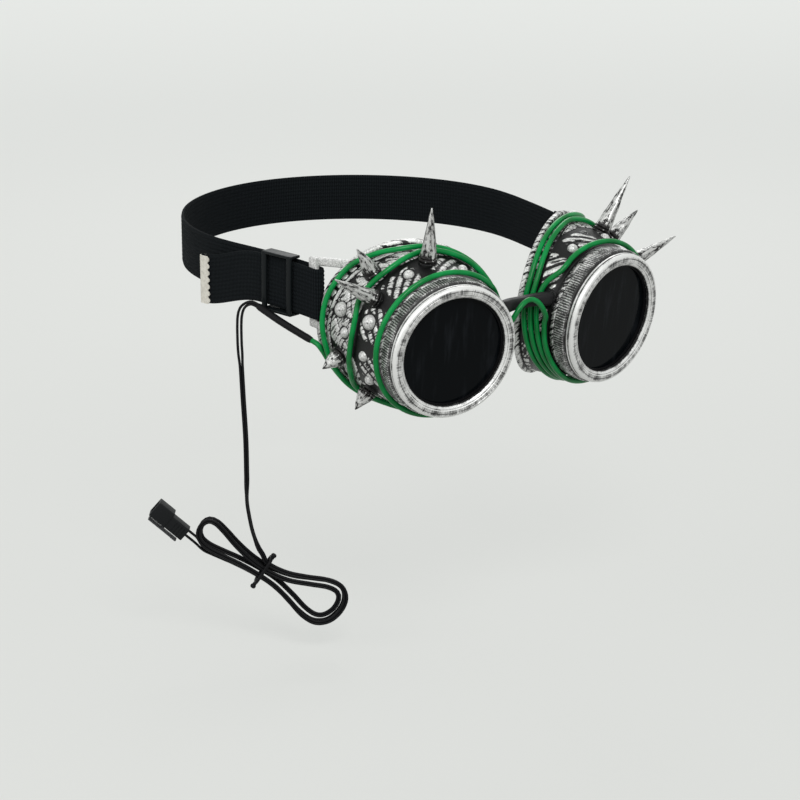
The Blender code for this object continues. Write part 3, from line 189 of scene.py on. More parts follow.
# Stations of the wire on a cup: angle from the outer side over the top, and depth.
# Each strand runs from the bridge's side (180) over the top to the outer side (0) and back under.
STRAND_UNDER_INNER = ((-110.0, -9.4), (-132.0, -9.4), (-148.0, -10.3), (-163.0, -11.4))
INNER_CROSSING = (-12.0, -15.8, -18.7, -21.6)
STRAND_FRONT = {
    RIGHT: ((160, -17.4), (152, -17.2), (141, -12.9), (129, -10.4), (115, -9.6), (100, -9.4)),
    LEFT: (
        (160, -17.4), (152, -17.2), (143, -13.7), (137, -13.1), (111, -12.7), (84, -10.9),
        (62, -9.5), (31, -8.9), (0, -9.3),
    ),
}
STRAND_MIDDLE = {
    RIGHT: (
        (160, -20.3), (135, -22.0), (110, -24.8), (95, -27.0), (84, -27.9), (72, -26.6),
        (60, -26.1), (45, -27.0), (30, -27.9), (18, -25.7), (4, -25.2),
    ),
    LEFT: (
        (160, -20.3), (148, -21.0), (135, -22.9), (110, -27.2), (85, -30.8), (60, -31.2),
        (44, -31.3), (26, -27.6), (12, -25.6), (2, -25.4),
    ),
}
STRAND_REAR = {
    RIGHT: (
        (160, -23.2), (135, -25.2), (110, -28.0), (95, -30.2), (84, -31.3), (70, -34.2),
        (60, -38.0), (49, -42.9), (36, -45.2), (20, -47.0), (6, -46.4),
    ),
    LEFT: (
        (160, -23.2), (148, -24.0), (135, -26.0), (110, -30.4), (85, -34.2), (65, -36.6),
        (50, -41.0), (36, -45.0), (20, -47.0), (6, -46.4),
    ),
}
STRAND_MIDDLE_UNDER = (
    (-10, -26.9), (-20, -28.6), (-33, -31.6), (-47, -35.0), (-61, -30.2), (-77, -20.6), (-92, -13.9),
)
STRAND_REAR_UNDER = (
    (-6, -44.4), (-18, -42.6), (-32, -41.4), (-47, -39.1), (-61, -34.5), (-77, -24.9), (-92, -17.9),
)
STRAND_ENTRY = ((-24, -46.2), (-33, -45.2), (-47, -43.1), (-61, -38.7), (-77, -29.3), (-92, -21.9))
STRAND_PITCH = 2.95
ARCH = (
    (-10.2, -3.3, -5.0), (-8.0, -4.3, -1.3), (-5.0, -4.6, 2.4), (-1.6, -4.6, 4.4), (1.6, -4.6, 4.4),
    (5.0, -4.6, 2.4), (8.0, -4.3, -1.3), (10.2, -3.3, -5.0),
)
SLEEVE_ROUTE = ((5.1, 2.8, -12.2), (12.0, 5.0, -9.0), (20.0, 7.1, -5.4), (31.6, 7.9, -1.0))

# Strap: a straight stretch behind each ear, and the wide loop between the two
STRAP_WIDTH = 22.0
STRAP_THICKNESS = 1.4
STRAP_LAYER = 2.3
EAR_X = CUP_HALF_SPACING + CUP_NECK_RADIUS - 2.1
EAR_Y = RIM_MEAN_DEPTH + 5.5
STRAP_SPREAD = 9.8
STRAP_LEVEL = 10.6
STRAP_EAR_DROP = 3.0
STRAP_DROP_LENGTH = 22.0
STRAP_STRAIGHT = 56.0
STRAP_BACK = 198.5
STRAP_SIDE_HANDLE = 54.0
STRAP_BACK_HANDLE = 46.0
STRAP_FREE_END = 72.0
STRAP_DROOP = 7.0
STRAP_DROOP_START = 37.0
STRAP_FOLD_LENGTH = 17.0

# Ear: the loop on the cup's outer side that the strap goes round. The upper and the
# lower arm's root are each an angle from the outer side over the top, and a distance from the rim
EAR_ROOTS = ((46.0, 0.5), (-3.5, 2.9))
EAR_ROOT_SINK = 1.0
EAR_TIP_SINK = 0.5
EAR_ARM_THICKNESS = 2.6
EAR_BAR_FRONT = 3.7
EAR_BAR_WIDTH = 4.4
EAR_BAR_THICKNESS = 2.4
EAR_ARM_HEIGHT = 3.6
EAR_ARM_CLEARANCE = 0.5
STRAP_TURN_FRONT = 0.9
STRAP_TURN_CLEARANCE = 0.5
STRAP_TURN_CENTRE = STRAP_TURN_FRONT + STRAP_THICKNESS / 2 + STRAP_LAYER
PASSAGE_HALF_WIDTH = 7.0

# Slider on the strap's straight stretch
SLIDER_CENTRE = 24.0
SLIDER_LENGTH = 17.4
SLIDER_INNER_HEIGHT = STRAP_WIDTH + 1.6
SLIDER_RAIL = 1.3
SLIDER_BAR = 2.6
SLIDER_BAR_THICKNESS = 1.6
SLIDER_MIDDLE_HALF = 1.5
SLIDER_STRAP_GAP = 0.4
SLIDER_TILT = 1.5

# Clamp on the strap's free end
CLAMP_LENGTH = 6.3
CLAMP_SHEET = 0.5
CLAMP_TEETH = 7
CLAMP_TOOTH = 1.2
CLAMP_EDGE_INSET = 0.3

# Lead, its hank and what is on it
SLEEVE_DIAMETER = 3.2
LEAD_DIAMETER = 2.4
LEAD_OFF = 7.9
LEAD_ARC = ((35.4, -0.3), (39.1, -1.5), (41.9, -4.0), (43.2, -7.4), (43.6, -11.5))
LEAD_DROP = (
    (-86.8, 86.1, -20.4), (-86.4, 85.8, -30.3), (-85.9, 85.5, -45.3), (-85.3, 85.0, -63.6),
    (-85.2, 85.0, -82.0),
)
LEAD_INTO_HANK = ((-22.7, 22.8), (-13.8, 13.2), (-8.2, 8.6))
HANK_HALF_LENGTH = 36.2
HANK_LENGTH_UNLIKE = 1.6
HANK_LOBE = 19.7
HANK_LOBE_UNLIKE = 4.1
HANK_WAIST = 2.1
HANK_BOW = 3.0
HANK_STEP = 3.2
HANK_LAYER = 2.95
HANK_TURNS = 2.6
HANK_CLIMB_TURNS = 0.2
HANK_POINTS_PER_TURN = 24
HANK_TAIL = ((-27.0, -6.7, -1.7), (-31.5, -5.9, -1.9), (-35.0, -5.4, -1.9))
HANK_CENTRE = (-80.0, 80.9, -124.3)
HANK_TILT = 33.2
VIEW_YAW = 37.8
TIE_DIAMETER = 1.5
TIE_HALF = (6.6, 3.9)
TIE_CORNER = 2.4
TIE_SHIFT = 0.2
KNOB_PROFILE = ((0, 0), (0.9, 0), (0.9, 1.2), (1.25, 1.6), (1.25, 2.4), (0.8, 2.9), (0, 2.9))
KNOB_HEIGHT = 1.56

# Plug: rear body and front block (length, width, depth), and the latch along one side
PLUG_REAR = (9.7, 6.4, 5.6)
PLUG_FRONT = (8.6, 7.9, 6.6)
PLUG_WALL = 1.1
PLUG_PITCH = 2.5
PLUG_BORE = 1.0
PLUG_SOCKET_FLOOR = 1.6
PIN_RADIUS = 0.45
PIN_START = 0.6
PIN_SHOULDER = 0.6
PIN_SHORT = 1.2
PIN_POINT = 0.4
LATCH_GAP = 1.5
LATCH_PIVOT = 0.6
LATCH_PIVOT_HALF = 0.6
LATCH_THICKNESS = 0.8
LATCH_WIDTH = 3.2
LATCH_REAR_SHORT = 1.4
LATCH_FRONT_SHORT = 1.2
LATCH_HOOK_LENGTH = 0.9
LATCH_HOOK_DEPTH = 0.45

# Finish of the cast relief and of the other fine forms
CUP_ROWS = 64
RIM_ROWS = 10
RIB_SLOPE = 0.3
CUP_SHOULDER = 1.0
FLANGE_SLOPE = 0.4
RING_GRIP_FRONT = 4.4
THREAD_STARTS = 3
RELIEF = 0.55
FRONT_BAND = (12.6, 24.0)
BAND_SLOPE = 1.2
PANEL_SLOPE = 3.0
REED_COUNT = 34
REED_SLANT = 2.3
FRONT_PANELS = 9
FRONT_PANEL_TURN = 8.0
FRONT_PANEL_OPENING = 0.72
REAR_BAND = 26.0
REAR_BAND_SHORT = 0.8
REAR_PANEL_TURN = 11.0
CROSS_SLANTS = (0.8, -0.9)
CROSS_WIDTH = 0.13
REAR_PITCH = 24.0
DOME_GROOVE = 0.5
DASH_COUNT = 52
DASH_HEIGHT = 0.35
DASH_BAND = (2.9, 5.9)
DASH_MIDDLE = 4.4
DASH_FILL = 1.6
DASH_LEVEL = 4.0
DASH_SLOPE = 2.8
THREAD_TURNS = 6
THREAD_MARGIN = 0.5
SPIGOT_FRONT = -RING_LIP_REAR + 2 * GAP + GASKET_THICKNESS + LENS_THICKNESS + GAP
NECK_EDGE = 0.3
FLANGE_EDGE = 0.3
RIM_EDGE = 0.4
PAD_SEGMENTS = 40
DOME_CROWN = 0.98
DOME_STEPS = 8
DOME_FOOT = 0.8
DOME_SEGMENTS = 32
SEAT_MARGIN = 0.1
SEAT_SINK = 1.2
SEAT_ROUND = 0.3
PAD_ROUND = 0.35
EAR_ROUND = 0.7

# Share of silver on the cup's neck, rib, flange and wall, on the ring's grip, and on cast
# pieces; the low share in the knurls' grooves is painted shade
NECK_SILVER = (0.1, 0.5, 0.5, 0.0)
RIB_SILVER = 0.9
FLANGE_SILVER = 0.75
WALL_SILVER = 0.15
KNURL_SILVER = 0.42
GROOVE_SILVER = 0.1
SEAT_SILVER = 0.12
DOME_SILVER = 0.62
EAR_SILVER = 0.72

# Ring's front: how far out from the opening, or in from the face's edge, how far behind
# the front, and the share of silver: a painted highlight where it is high on the rounded
# edges, and painted shade where it is low in the grooves
RING_BEVEL = (
    (0.0, 1.1, 0.1), (0.25, 0.75, 0.6), (1.0, 0.3, 0.6), (1.3, 0.42, 0.25), (1.6, 0.12, 0.8),
    (1.9, 0.0, 0.40), (2.9, 0.0, 0.40), (3.15, 0.22, 0.10), (3.4, 0.0, 0.38),
)
RING_EDGE = (
    (1.3, 0.06, 0.45), (0.6, 0.4, 0.9), (0.2, 0.9, 0.8), (0.0, 1.5, 0.6), (0.0, 1.9, 0.3), (0.3, 2.05, 0.0),
    (0.3, 2.35, 0.0), (0.0, 2.5, 0.5), (0.0, 3.2, 0.7), (0.5, 3.7, 0.0), (0.5, 4.1, 0.0),
)
GRIP_INSET = 0.35
GRIP_EDGE = 0.4
GRIP_STEPS = 4
POINTS_PER_KNURL = 4
ROUND_SEGMENTS = 120
GASKET_ROUND = 0.3
LENS_ROUND = 0.35
LENS_EDGE = 1.2
LENS_BACK_EDGE = 2.0

# Screws: shares of the radius at the head's crown, a thread's root and the tip, and the cross recess
SCREW_CROWN = 0.72
SCREW_ROOT = 0.84
SCREW_TIP = 0.8
SCREW_EDGE = 0.7
SCREW_ROUND = 0.5
SCREW_SEGMENTS = 24
RECESS_ARM = (1.5, 0.28)
RECESS_DEPTH = 0.6
RECESS_OVER = 1.0
RECESS_ROUND = 0.05
SCREW_THREAD_START = 0.25
SCREW_THREAD = 0.8
SPIKE_SEGMENTS = 60
SPIKE_ROWS = 40
SPIKE_SWELL = 0.03
SPIKE_EDGE = 0.3
SPIKE_COLLAR = 0.8
SPIKE_TIP = 0.35

# Turned foot of a spike: share of the base radius, and height over the foot
SPIKE_FOOT = ((0.90, 1.15), (0.86, 1.35), (0.90, 1.6), (0.94, 1.9), (0.93, 2.2), (0.88, 2.5))
SPIKE_CONE = (0.86, 0.07)
SPIKE_CONE_START = 2.8
SPIKE_LUMP = 0.22
SPIKE_LUMP_STRETCH = 0.35
SPIKE_LUMP_SCALE = 0.7
SPIKE_LUMP_SHIFT = 7.3
SPIKE_LUMP_FADE = 1.5
SPIKE_FLAT = 0.10
SPIKE_FLAT_FADE = 2.0
BRIDGE_STEPS = 40
BRIDGE_SEGMENTS = 40
BRIDGE_END_SHRINK = 0.08
WIRE_SPACING = 1.3
WIRE_IN_SLEEVE = 0.8
CORD_SEGMENTS = 16
SLEEVE_SEGMENTS = 20
SLEEVE_STEP = 0.8
SLEEVE_END = 1.6
SLEEVE_NECK = 0.14
SLEEVE_WAVE = (0.025, 0.9)
CAP_SEGMENTS = 32
CAP_ROUND = 0.5

# End cap: share of its radius and of its length
CAP_PROFILE = ((1.0, 0.0), (1.0, 0.62), (0.9, 0.7), (0.92, 0.9), (0.7, 1.0))
STRAP_SPACING = 1.6
STRAP_RIBS = 12
STRAP_RIB_POINTS = 6
STRAP_RIB_DEPTH = 0.26
STRAP_EDGE = 0.5
STRAP_EDGE_STEPS = 4
STRAP_EDGE_SHARE = 0.85
STRAP_TURN_STEPS = 8
STRAP_QUARTER_STEPS = 12
STRAP_STEPS = 6
STRAP_FREE_STEPS = 12
STRAP_PAST_BAR = 1.0
WEAVE_PITCH = 0.9
STITCHES = 7
STITCH_LENGTH = 1.9
STITCH_ROWS = (1.6, 3.4)
STITCH_MARGIN = 3.0
STITCH_STEPS = 4
STITCH_LIFT = (0.10, 0.16)
STITCH_RADIUS = 0.16
STITCH_SEGMENTS = 6
SLIDER_ROUND = (0.5, 0.65, 0.6)
CLAMP_TOOTH_SHARES = (0.35, 0.65)
CLAMP_BEND_STEPS = 8
LEAD_SPACING = 1.5
LEAD_CONDUCTOR = 1.18
LEAD_PAIR = 1.17
LEAD_PAST_END = 700.0
PLUG_OFF_AXIS = (PLUG_FRONT[1] - PLUG_REAR[1]) / 2
LEAD_SPLITS = ((6.0, 38.0, 1.75, 7.0, 0.0), (-9.0, LEAD_PAST_END, PLUG_PITCH, 5.0, PLUG_OFF_AXIS))
CONDUCTOR_REACH = 0.7
LEAD_EDGE_ON = (88.0, 126.0, 10.0)
LEAD_EDGE_TURN = 70.0
LEAD_STATION_SPACING = 2.4
HANK_FULLNESS = (2.3, 0.5)
HANK_NUDGE = 0.002
HANK_TAIL_SPACING = 4.0
TIE_CORNER_STEPS = 7
KNOB_ROUND = 0.4
KNOB_SEGMENTS = 28
PLUG_RIBS = 4
PLUG_RIB_START = 1.6
PLUG_RIB_PITCH = 1.5
PLUG_RIB_WIDTH = 0.6
PLUG_RIB_DEPTH = 0.3
PLUG_RIB_MARGIN = 1.0
PLUG_LAP = 0.6
PLUG_ROUND = (0.45, 0.4)
SOCKET_ROUND = 0.2
GRIP_ROUND = 0.08
BORE_SEGMENTS = 32

# Contact: share of the barrel's radius, and height from the rear body's front
CONTACT_BARREL = ((1.0, -2.0), (0.8, -1.6), (1.0, -1.0), (1.0, 0.0))
CONTACT_SEGMENTS = 28
CONTACT_ROUND = 0.15
LATCH_LAP = 0.3
LATCH_RIDGES = 3
LATCH_RIDGE_START = 0.5
LATCH_RIDGE_PITCH = 0.9
LATCH_RIDGE = (0.45, 0.18)
LATCH_RIDGE_SINK = 0.2
LATCH_RIDGE_SHORT = 0.1
LATCH_FOOT_GAP = 0.1
LATCH_ROUND = (0.2, 0.1)

# Corners may take this share of an edge; a path this near to upright takes another side axis
CORNER_SHARE = 0.45
NEARLY_UPRIGHT = 0.1

# How strongly dark pieces mirror the room
DARK_MIRROR = 0.13
LENS_MIRROR = 0.05

# Colours as linear values
SILVER = (0.50, 0.50, 0.49)
SILVER_BRIGHT = (0.88, 0.88, 0.87)
SOOT = (0.004, 0.004, 0.0045)
PLAIN = (1.0, 1.0, 1.0)
STROKES = (1.0, 0.3, 1.0)
RING_DARK = (0.045, 0.045, 0.045)
PATCH_SHARE = 0.22
RING_LOW = 1.15
RING_HIGH = 1.72
SPIKE_SILVER = (0.62, 0.62, 0.61)
SPIKE_DARK = (0.012, 0.011, 0.011)
WIRE_GREEN = (0.0, 0.30, 0.065)
WIRE_DEEP = (0.0, 0.19, 0.036)
WEBBING = (0.011, 0.014, 0.016)
WEBBING_DARK = (0.003, 0.004, 0.005)
LENS_BLACK = (0.003, 0.004, 0.005)
LENS_STREAK = (0.012, 0.014, 0.017)
CLAMP_PALE = (0.94, 0.91, 0.82)
CLAMP_DIRT = (0.74, 0.71, 0.63)
STEEL = (0.55, 0.55, 0.54)
BRASS = (0.72, 0.58, 0.32)
RUBBER_BLACK = (0.005, 0.005, 0.006)
BRIDGE_BLACK = (0.018, 0.018, 0.019)
THREAD_GREY = (0.03, 0.03, 0.032)
SLIDER_BLACK = (0.006, 0.008, 0.009)
LEAD_BLACK = (0.005, 0.005, 0.006)
PLUG_BLACK = (0.010, 0.011, 0.012)
LATCH_GREY = (0.06, 0.062, 0.066)
FLOOR_COLOUR = (0.26, 0.26, 0.25)
FLOOR_GLOW = (0.84, 0.86, 0.84)
# Painted light: the floor's glow is weaker near the camera and stronger far off, like a lamp's falloff
FLOOR_GLOW_NEAR = 0.58
FLOOR_GLOW_FAR = 0.80
FLOOR_FADE_WAY = (0.6, 0.8)
FLOOR_FADE = (-300.0, 2600.0)
ROOM_COLOUR = (0.84, 0.86, 0.84)
WORLD_STRENGTH = 0.5

# Lamps: name, place, watts and diameter; all aim at one point
LAMPS = (
    ("key", (-500.0, -900.0, 900.0), 9.0, 700.0),
    ("fill", (-900.0, 100.0, 400.0), 1.8, 600.0),
    ("rear", (500.0, 700.0, 600.0), 2.4, 600.0),
)
LAMP_AIM = (-10.0, 30.0, -10.0)


class Nodes:
    """Short calls for the nodes of a material or of the world."""

    def __init__(self, owner):
        owner.use_nodes = True
        self.tree = owner.node_tree

    def put(self, socket, value):
        """Link a socket to a socket, or set a constant on it."""
        if isinstance(value, bpy.types.NodeSocket):
            self.tree.links.new(value, socket)
        elif socket.type == "RGBA":
            socket.default_value = (*value, 1.0)
        else:
            socket.default_value = value

    def node(self, kind, inputs, out=0, **settings):
        """A new node with its settings and inputs, by number or name; gives one output."""
        step = self.tree.nodes.new(f"ShaderNode{kind}")
        for name, value in settings.items():
            setattr(step, name, value)
        for key, value in inputs.items():
            self.put(step.inputs[key], value)
        return step.outputs[out]

    def math(self, operation, *values):
        """One step of arithmetic on numbers."""
        return self.node("Math", dict(enumerate(values)), operation=operation)

    def seen(self):
        """1 for what the camera, metal and glass see, and 0 for what lights the pieces."""
        rays = self.tree.nodes.new("ShaderNodeLightPath").outputs
        seen = self.math("MAXIMUM", rays["Is Camera Ray"], rays["Is Glossy Ray"])
        return self.math("MAXIMUM", seen, rays["Is Transmission Ray"])


class Shader(Nodes):
    """A Principled material, with short calls for the nodes that feed it."""

    def __init__(self, name, colour=(0.5, 0.5, 0.5), roughness=0.5, metallic=0.0):
        self.material = bpy.data.materials.new(name)
        super().__init__(self.material)
        self.surface = self.tree.nodes["Principled BSDF"]
        self.feed("Base Color", colour)
        self.feed("Roughness", roughness)
        self.feed("Metallic", metallic)

    def feed(self, name, value):
        """Set an input of the surface."""
        self.put(self.surface.inputs[name], value)

    def matt(self, level):
        """How strongly the surface mirrors the room, where 0.5 is plain plastic."""
        self.feed("Specular IOR Level", level)

    def add(self, value, other, share=1.0):
        """A number plus a share of another."""
        part = other if share == 1.0 else self.math("MULTIPLY", other, share)
        return self.math("ADD", value, part)

    def place(self, stretch=PLAIN):
        """The object's own coordinates in millimetres, stretched."""
        own = self.node("TexCoord", {}, "Object")
        shares = [share / MM for share in stretch]
        return self.node("VectorMath", {0: own, 1: shares}, operation="MULTIPLY")

    def split(self, vector):
        """The three numbers of a vector."""
        return self.node("SeparateXYZ", {0: vector}, slice(3))

    def join(self, x, y, z):
        """A vector of three numbers."""
        return self.node("CombineXYZ", {0: x, 1: y, 2: z})

    def unrolled(self, radius, stretch_round=1.0, stretch_along=1.0):
        """Coordinates round the Z axis: the arc at a radius and the height, stretched."""
        x, y, z = self.split(self.place())
        arc = self.math("MULTIPLY", self.math("ARCTAN2", y, x), radius * stretch_round)
        return self.join(arc, self.math("MULTIPLY", z, stretch_along), 0.0)

    def noise(self, vector, size, detail=3.0, roughness=0.6):
        """Noise whose features are about a size across, in millimetres."""
        inputs = {"Vector": vector, "Scale": 1.0 / size, "Detail": detail, "Roughness": roughness}
        return self.node("TexNoise", inputs)

    def band(self, value, low, high):
        """0 below low and 1 above high, smooth between them."""
        inputs = {"Value": value, "From Min": low, "From Max": high}
        return self.node("MapRange", inputs, interpolation_type="SMOOTHSTEP")

    def mix(self, share, low, high):
        """A colour between two, by a share."""
        return self.node("Mix", {0: share, 6: low, 7: high}, 2, data_type="RGBA")

    def attribute(self, name):
        """A number kept on the mesh's points."""
        return self.node("Attribute", {}, "Fac", attribute_name=name)

    def bump(self, height, depth):
        """Fine relief of a depth in millimetres."""
        self.feed("Normal", self.node("Bump", {"Distance": depth * MM, "Height": height}))


def finish_piece(item, look, body, replaced=(), sharp=35.0):
    """Give a mesh object its look, and let it ride on a body."""
    item.data.materials.append(look)
    item.data.shade_smooth()
    item.data.set_sharp_from_angle(angle=math.radians(sharp))
    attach(item, body)
    if replaced:
        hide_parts(*replaced)
    return item


def raw_mesh(name, points, faces, matrix=Matrix()):
    """A mesh object from points in millimetres, with outward faces."""
    mesh = bpy.data.meshes.new(name)
    mesh.from_pydata([Vector(p) * MM for p in points], [], faces)
    work = bmesh.new()
    work.from_mesh(mesh)
    bmesh.ops.recalc_face_normals(work, faces=work.faces)
    work.to_mesh(mesh)
    work.free()
    item = bpy.data.objects.new(name, mesh)
    bpy.context.scene.collection.objects.link(item)
    metres = matrix.copy()
    metres.translation = matrix.translation * MM
    item.matrix_world = metres
    return item


def loft_faces(rings, count, closed):
    """Quads between rings of points, joined end to end or capped."""
    faces = []
    links = rings if closed else rings - 1
    for i in range(links):
        a, b = i * count, (i + 1) % rings * count
        for j in range(count):
            k = (j + 1) % count
            faces.append((a + j, a + k, b + k, b + j))
    if not closed:
        faces.append(tuple(reversed(range(count))))
        faces.append(tuple(range((rings - 1) * count, rings * count)))
    return faces


def loft(name, rings, matrix=Matrix(), closed=False):
    """A body skinned over rings with equal numbers of points."""
    points = [p for ring in rings for p in ring]
    return raw_mesh(name, points, loft_faces(len(rings), len(rings[0]), closed), matrix)


def join_shapes(name, shapes, matrix=Matrix()):
    """One mesh object from several lists of points and faces."""
    points, faces = [], []
    for shape_points, shape_faces in shapes:
        shift = len(points)
        points += shape_points
        faces += [tuple(shift + k for k in face) for face in shape_faces]
    return raw_mesh(name, points, faces, matrix)


def lathe_shape(profile, segments):
    """Points and faces of a profile of (radius, height) turned round Z."""
    points, rows, faces = [], [], []
    for radius, height in profile:
        if radius == 0:
            rows.append([len(points)])
            points.append(Vector((0.0, 0.0, height)))
            continue
        rows.append(range(len(points), len(points) + segments))
        for j in range(segments):
            turn = math.tau * j / segments
            points.append(Vector((radius * math.cos(turn), radius * math.sin(turn), height)))
    open_ended = profile[0][0] == 0 and profile[-1][0] == 0
    last = len(rows) - 1 if open_ended else len(rows)
    for i in range(last):
        here, there = rows[i], rows[(i + 1) % len(rows)]
        for j in range(segments):
            k = (j + 1) % segments
            if len(here) == 1:
                faces.append((here[0], there[j], there[k]))
            elif len(there) == 1:
                faces.append((here[j], here[k], there[0]))
            else:
                faces.append((here[j], here[k], there[k], there[j]))
    return points, faces


def lathe(name, profile, segments, matrix=Matrix()):
    """A profile of (radius, height) turned round Z; radius 0 makes a pole."""
    points, faces = lathe_shape(profile, segments)
    return raw_mesh(name, points, faces, matrix)


def rounded(profile, radius, steps=3):
    """A profile with its corners cut round, as far as its edges allow."""
    made = []
    for i, point in enumerate(profile):
        if i in (0, len(profile) - 1):
            made.append(point)
            continue
        here = Vector(point)
        before, after = Vector(profile[i - 1]), Vector(profile[i + 1])
        edge = min((before - here).length, (after - here).length)
        reach = min(radius, edge * CORNER_SHARE)
        start = here + (before - here).normalized() * reach
        end = here + (after - here).normalized() * reach
        for k in range(steps + 1):
            t = k / steps
            made.append(tuple(start * (1 - t) ** 2 + here * 2 * t * (1 - t) + end * t * t))
    return made


def store(item, name, values):
    """Keep one number for each point of a mesh, for its material."""
    layer = item.data.attributes.new(name, "FLOAT", "POINT")
    layer.data.foreach_set("value", values)


def turned(name, profile_at, segments, side, matrix):
    """A closed meridian of (radius, height, share of silver) that may change as it turns round Z."""
    rings, silver = [], []
    for j in range(segments):
        turn = math.tau * j / segments
        x, y = side * math.cos(turn), math.sin(turn)
        profile = profile_at(turn)
        rings.append([(radius * x, radius * y, height) for radius, height, _ in profile])
        silver += [share for _, _, share in profile]
    item = loft(name, rings, matrix, closed=True)
    store(item, "raised", silver)
    return item


def tube_shape(points, radius, segments, closed=False):
    """Points and faces of a round tube that turns as little as it can."""
    count = len(points)
    tangents = []
    for i in range(count):
        ahead = points[(i + 1) % count] if closed else points[min(i + 1, count - 1)]
        behind = points[i - 1] if closed or i else points[0]
        tangents.append((ahead - behind).normalized())
    normal = tangents[0].cross(UP)
    if normal.length < NEARLY_UPRIGHT:
        normal = tangents[0].cross(Vector((1, 0, 0)))
    made = []
    for point, along in zip(points, tangents):
        normal = (normal - along * normal.dot(along)).normalized()
        other = along.cross(normal)
        for j in range(segments):
            turn = math.tau * j / segments
            made.append(point + (normal * math.cos(turn) + other * math.sin(turn)) * radius)
    return made, loft_faces(count, segments, closed)


def block_shape(low, high, radius, steps=2):
    """Points and faces of a block between two corners, with rounded edges."""
    work = bmesh.new()
    size = Vector(high) - Vector(low)
    centre = (Vector(high) + Vector(low)) / 2
    bmesh.ops.create_cube(work, size=1.0)
    for vertex in work.verts:
        vertex.co = centre + Vector(a * b for a, b in zip(vertex.co, size))
    shape = {"profile": 0.5, "affect": "EDGES", "clamp_overlap": True}
    bmesh.ops.bevel(work, geom=work.edges[:], offset=radius, segments=steps, **shape)
    points = [vertex.co.copy() for vertex in work.verts]
    faces = [tuple(vertex.index for vertex in face.verts) for face in work.faces]
    work.free()
    return points, faces


def block(name, low, high, radius, matrix, steps=2):
    """A block between two corners, with rounded edges."""
    return join_shapes(name, [block_shape(low, high, radius, steps)], matrix)


def cut(item, cutters, operation="DIFFERENCE"):
    """Cut shapes out of a piece, or fuse them to it, and keep the result as its mesh."""
    for cutter in cutters:
        modifier = item.modifiers.new("cut", "BOOLEAN")
        modifier.operation = operation
        modifier.solver = "EXACT"
        modifier.object = cutter
    bpy.context.view_layer.update()
    graph = bpy.context.evaluated_depsgraph_get()
    made = bpy.data.meshes.new_from_object(item.evaluated_get(graph))
    item.modifiers.clear()
    item.data = made
    for cutter in cutters:
        bpy.data.objects.remove(cutter, do_unlink=True)


def limit(value):
    """A number kept between 0 and 1."""
    return max(0.0, min(1.0, value))


def ease(value):
    """A smooth step, which is 0 up to 0 and 1 from 1 on."""
    t = limit(value)
    return t * t * (3 - 2 * t)


def weights(t):
    """Shares of a span's start, its end, and the slopes at both, at a share t of the span."""
    return 1 - 3 * t * t + 2 * t**3, 3 * t * t - 2 * t**3, t - 2 * t * t + t**3, t**3 - t * t


def bezier(start, ahead, handle, end, u):
    """A point at a share u of a curve from start to end that two handles pull."""
    return start * (1 - u) ** 3 + ahead * 3 * u * (1 - u) ** 2 + handle * 3 * u * u * (1 - u) + end * u**3


def frame_at(x, y, z, place):
    """A frame of three axes at a place."""
    frame = Matrix((x, y, z)).transposed().to_4x4()
    frame.translation = place
    return frame


def axis(frame, number):
    """The direction of one axis of a frame."""
    return frame.to_3x3().col[number].normalized()


def smooth_path(stations, spacing):
    """Points on a smooth curve through given stations, about a spacing apart."""
    nodes = [Vector(p) for p in stations]
    path = [nodes[0]]
    for i in range(len(nodes) - 1):
        before = nodes[i - 1] if i else 2 * nodes[0] - nodes[1]
        after = nodes[i + 2] if i + 2 < len(nodes) else 2 * nodes[-1] - nodes[-2]
        a, b = nodes[i], nodes[i + 1]
        steps = max(1, round((b - a).length / spacing))
        for k in range(1, steps + 1):
            start, end, leave, arrive = weights(k / steps)
            path.append(a * start + b * end + (b - before) * leave / 2 + (after - a) * arrive / 2)
    return path


def read_curve(stations, x):
    """A smooth value at x between stations (x, value) that rise in x."""
    i = 0
    while i < len(stations) - 2 and x > stations[i + 1][0]:
        i += 1

    def slope(k):
        if k == 0 or k == len(stations) - 1:
            return 0.0
        (x0, y0), (x2, y2) = stations[k - 1], stations[k + 1]
        return (y2 - y0) / (x2 - x0)

    (x0, y0), (x1, y1) = stations[i], stations[i + 1]
    span = x1 - x0
    start, end, leave, arrive = weights((x - x0) / span)
    return y0 * start + y1 * end + slope(i) * span * leave + slope(i + 1) * span * arrive


def cup_matrix(side):
    """Cup frame: X sideways, Y up and Z out of the opening, in millimetres."""
    yaw, pitch = math.radians(CUP_YAW), math.radians(CUP_PITCH)
    level = math.cos(yaw)
    out = Vector((side * math.sin(yaw), -level * math.cos(pitch), -level * math.sin(pitch)))
    sideways = UP.cross(out).normalized()
    place = (side * CUP_HALF_SPACING, -CUP_FORWARD, -CUP_DROP)
    return frame_at(sideways, out.cross(sideways), out, place)


def cup_radius(depth):
    """Outer radius of the cup wall at a depth behind the opening."""
    for (d0, r0), (d1, r1) in zip(CUP_FLARE, CUP_FLARE[1:]):
        if depth <= d1:
            return CUP_NECK_RADIUS + r0 + (r1 - r0) * max(0.0, depth - d0) / (d1 - d0)
    (d0, r0), (d1, r1) = CUP_FLARE[-2:]
    return CUP_NECK_RADIUS + r1 + (r1 - r0) * (depth - d1) / (d1 - d0)


def rim_depth(turn):
    """Depth of the rear rim, which is cut at a slant."""
    return RIM_MEAN_DEPTH + RIM_SLANT * math.cos(turn)


def rib_height(turn):
    """Height of the raised rib, which fades out towards the bridge."""
    return RIB_HEIGHT * (1 + math.cos(turn)) / 2


def on_cup(side, angle, height, radius):
    """A point in the cup's own frame; the angle runs from the outer side over the top."""
    turn = math.radians(angle)
    return Vector((side * radius * math.cos(turn), radius * math.sin(turn), height))


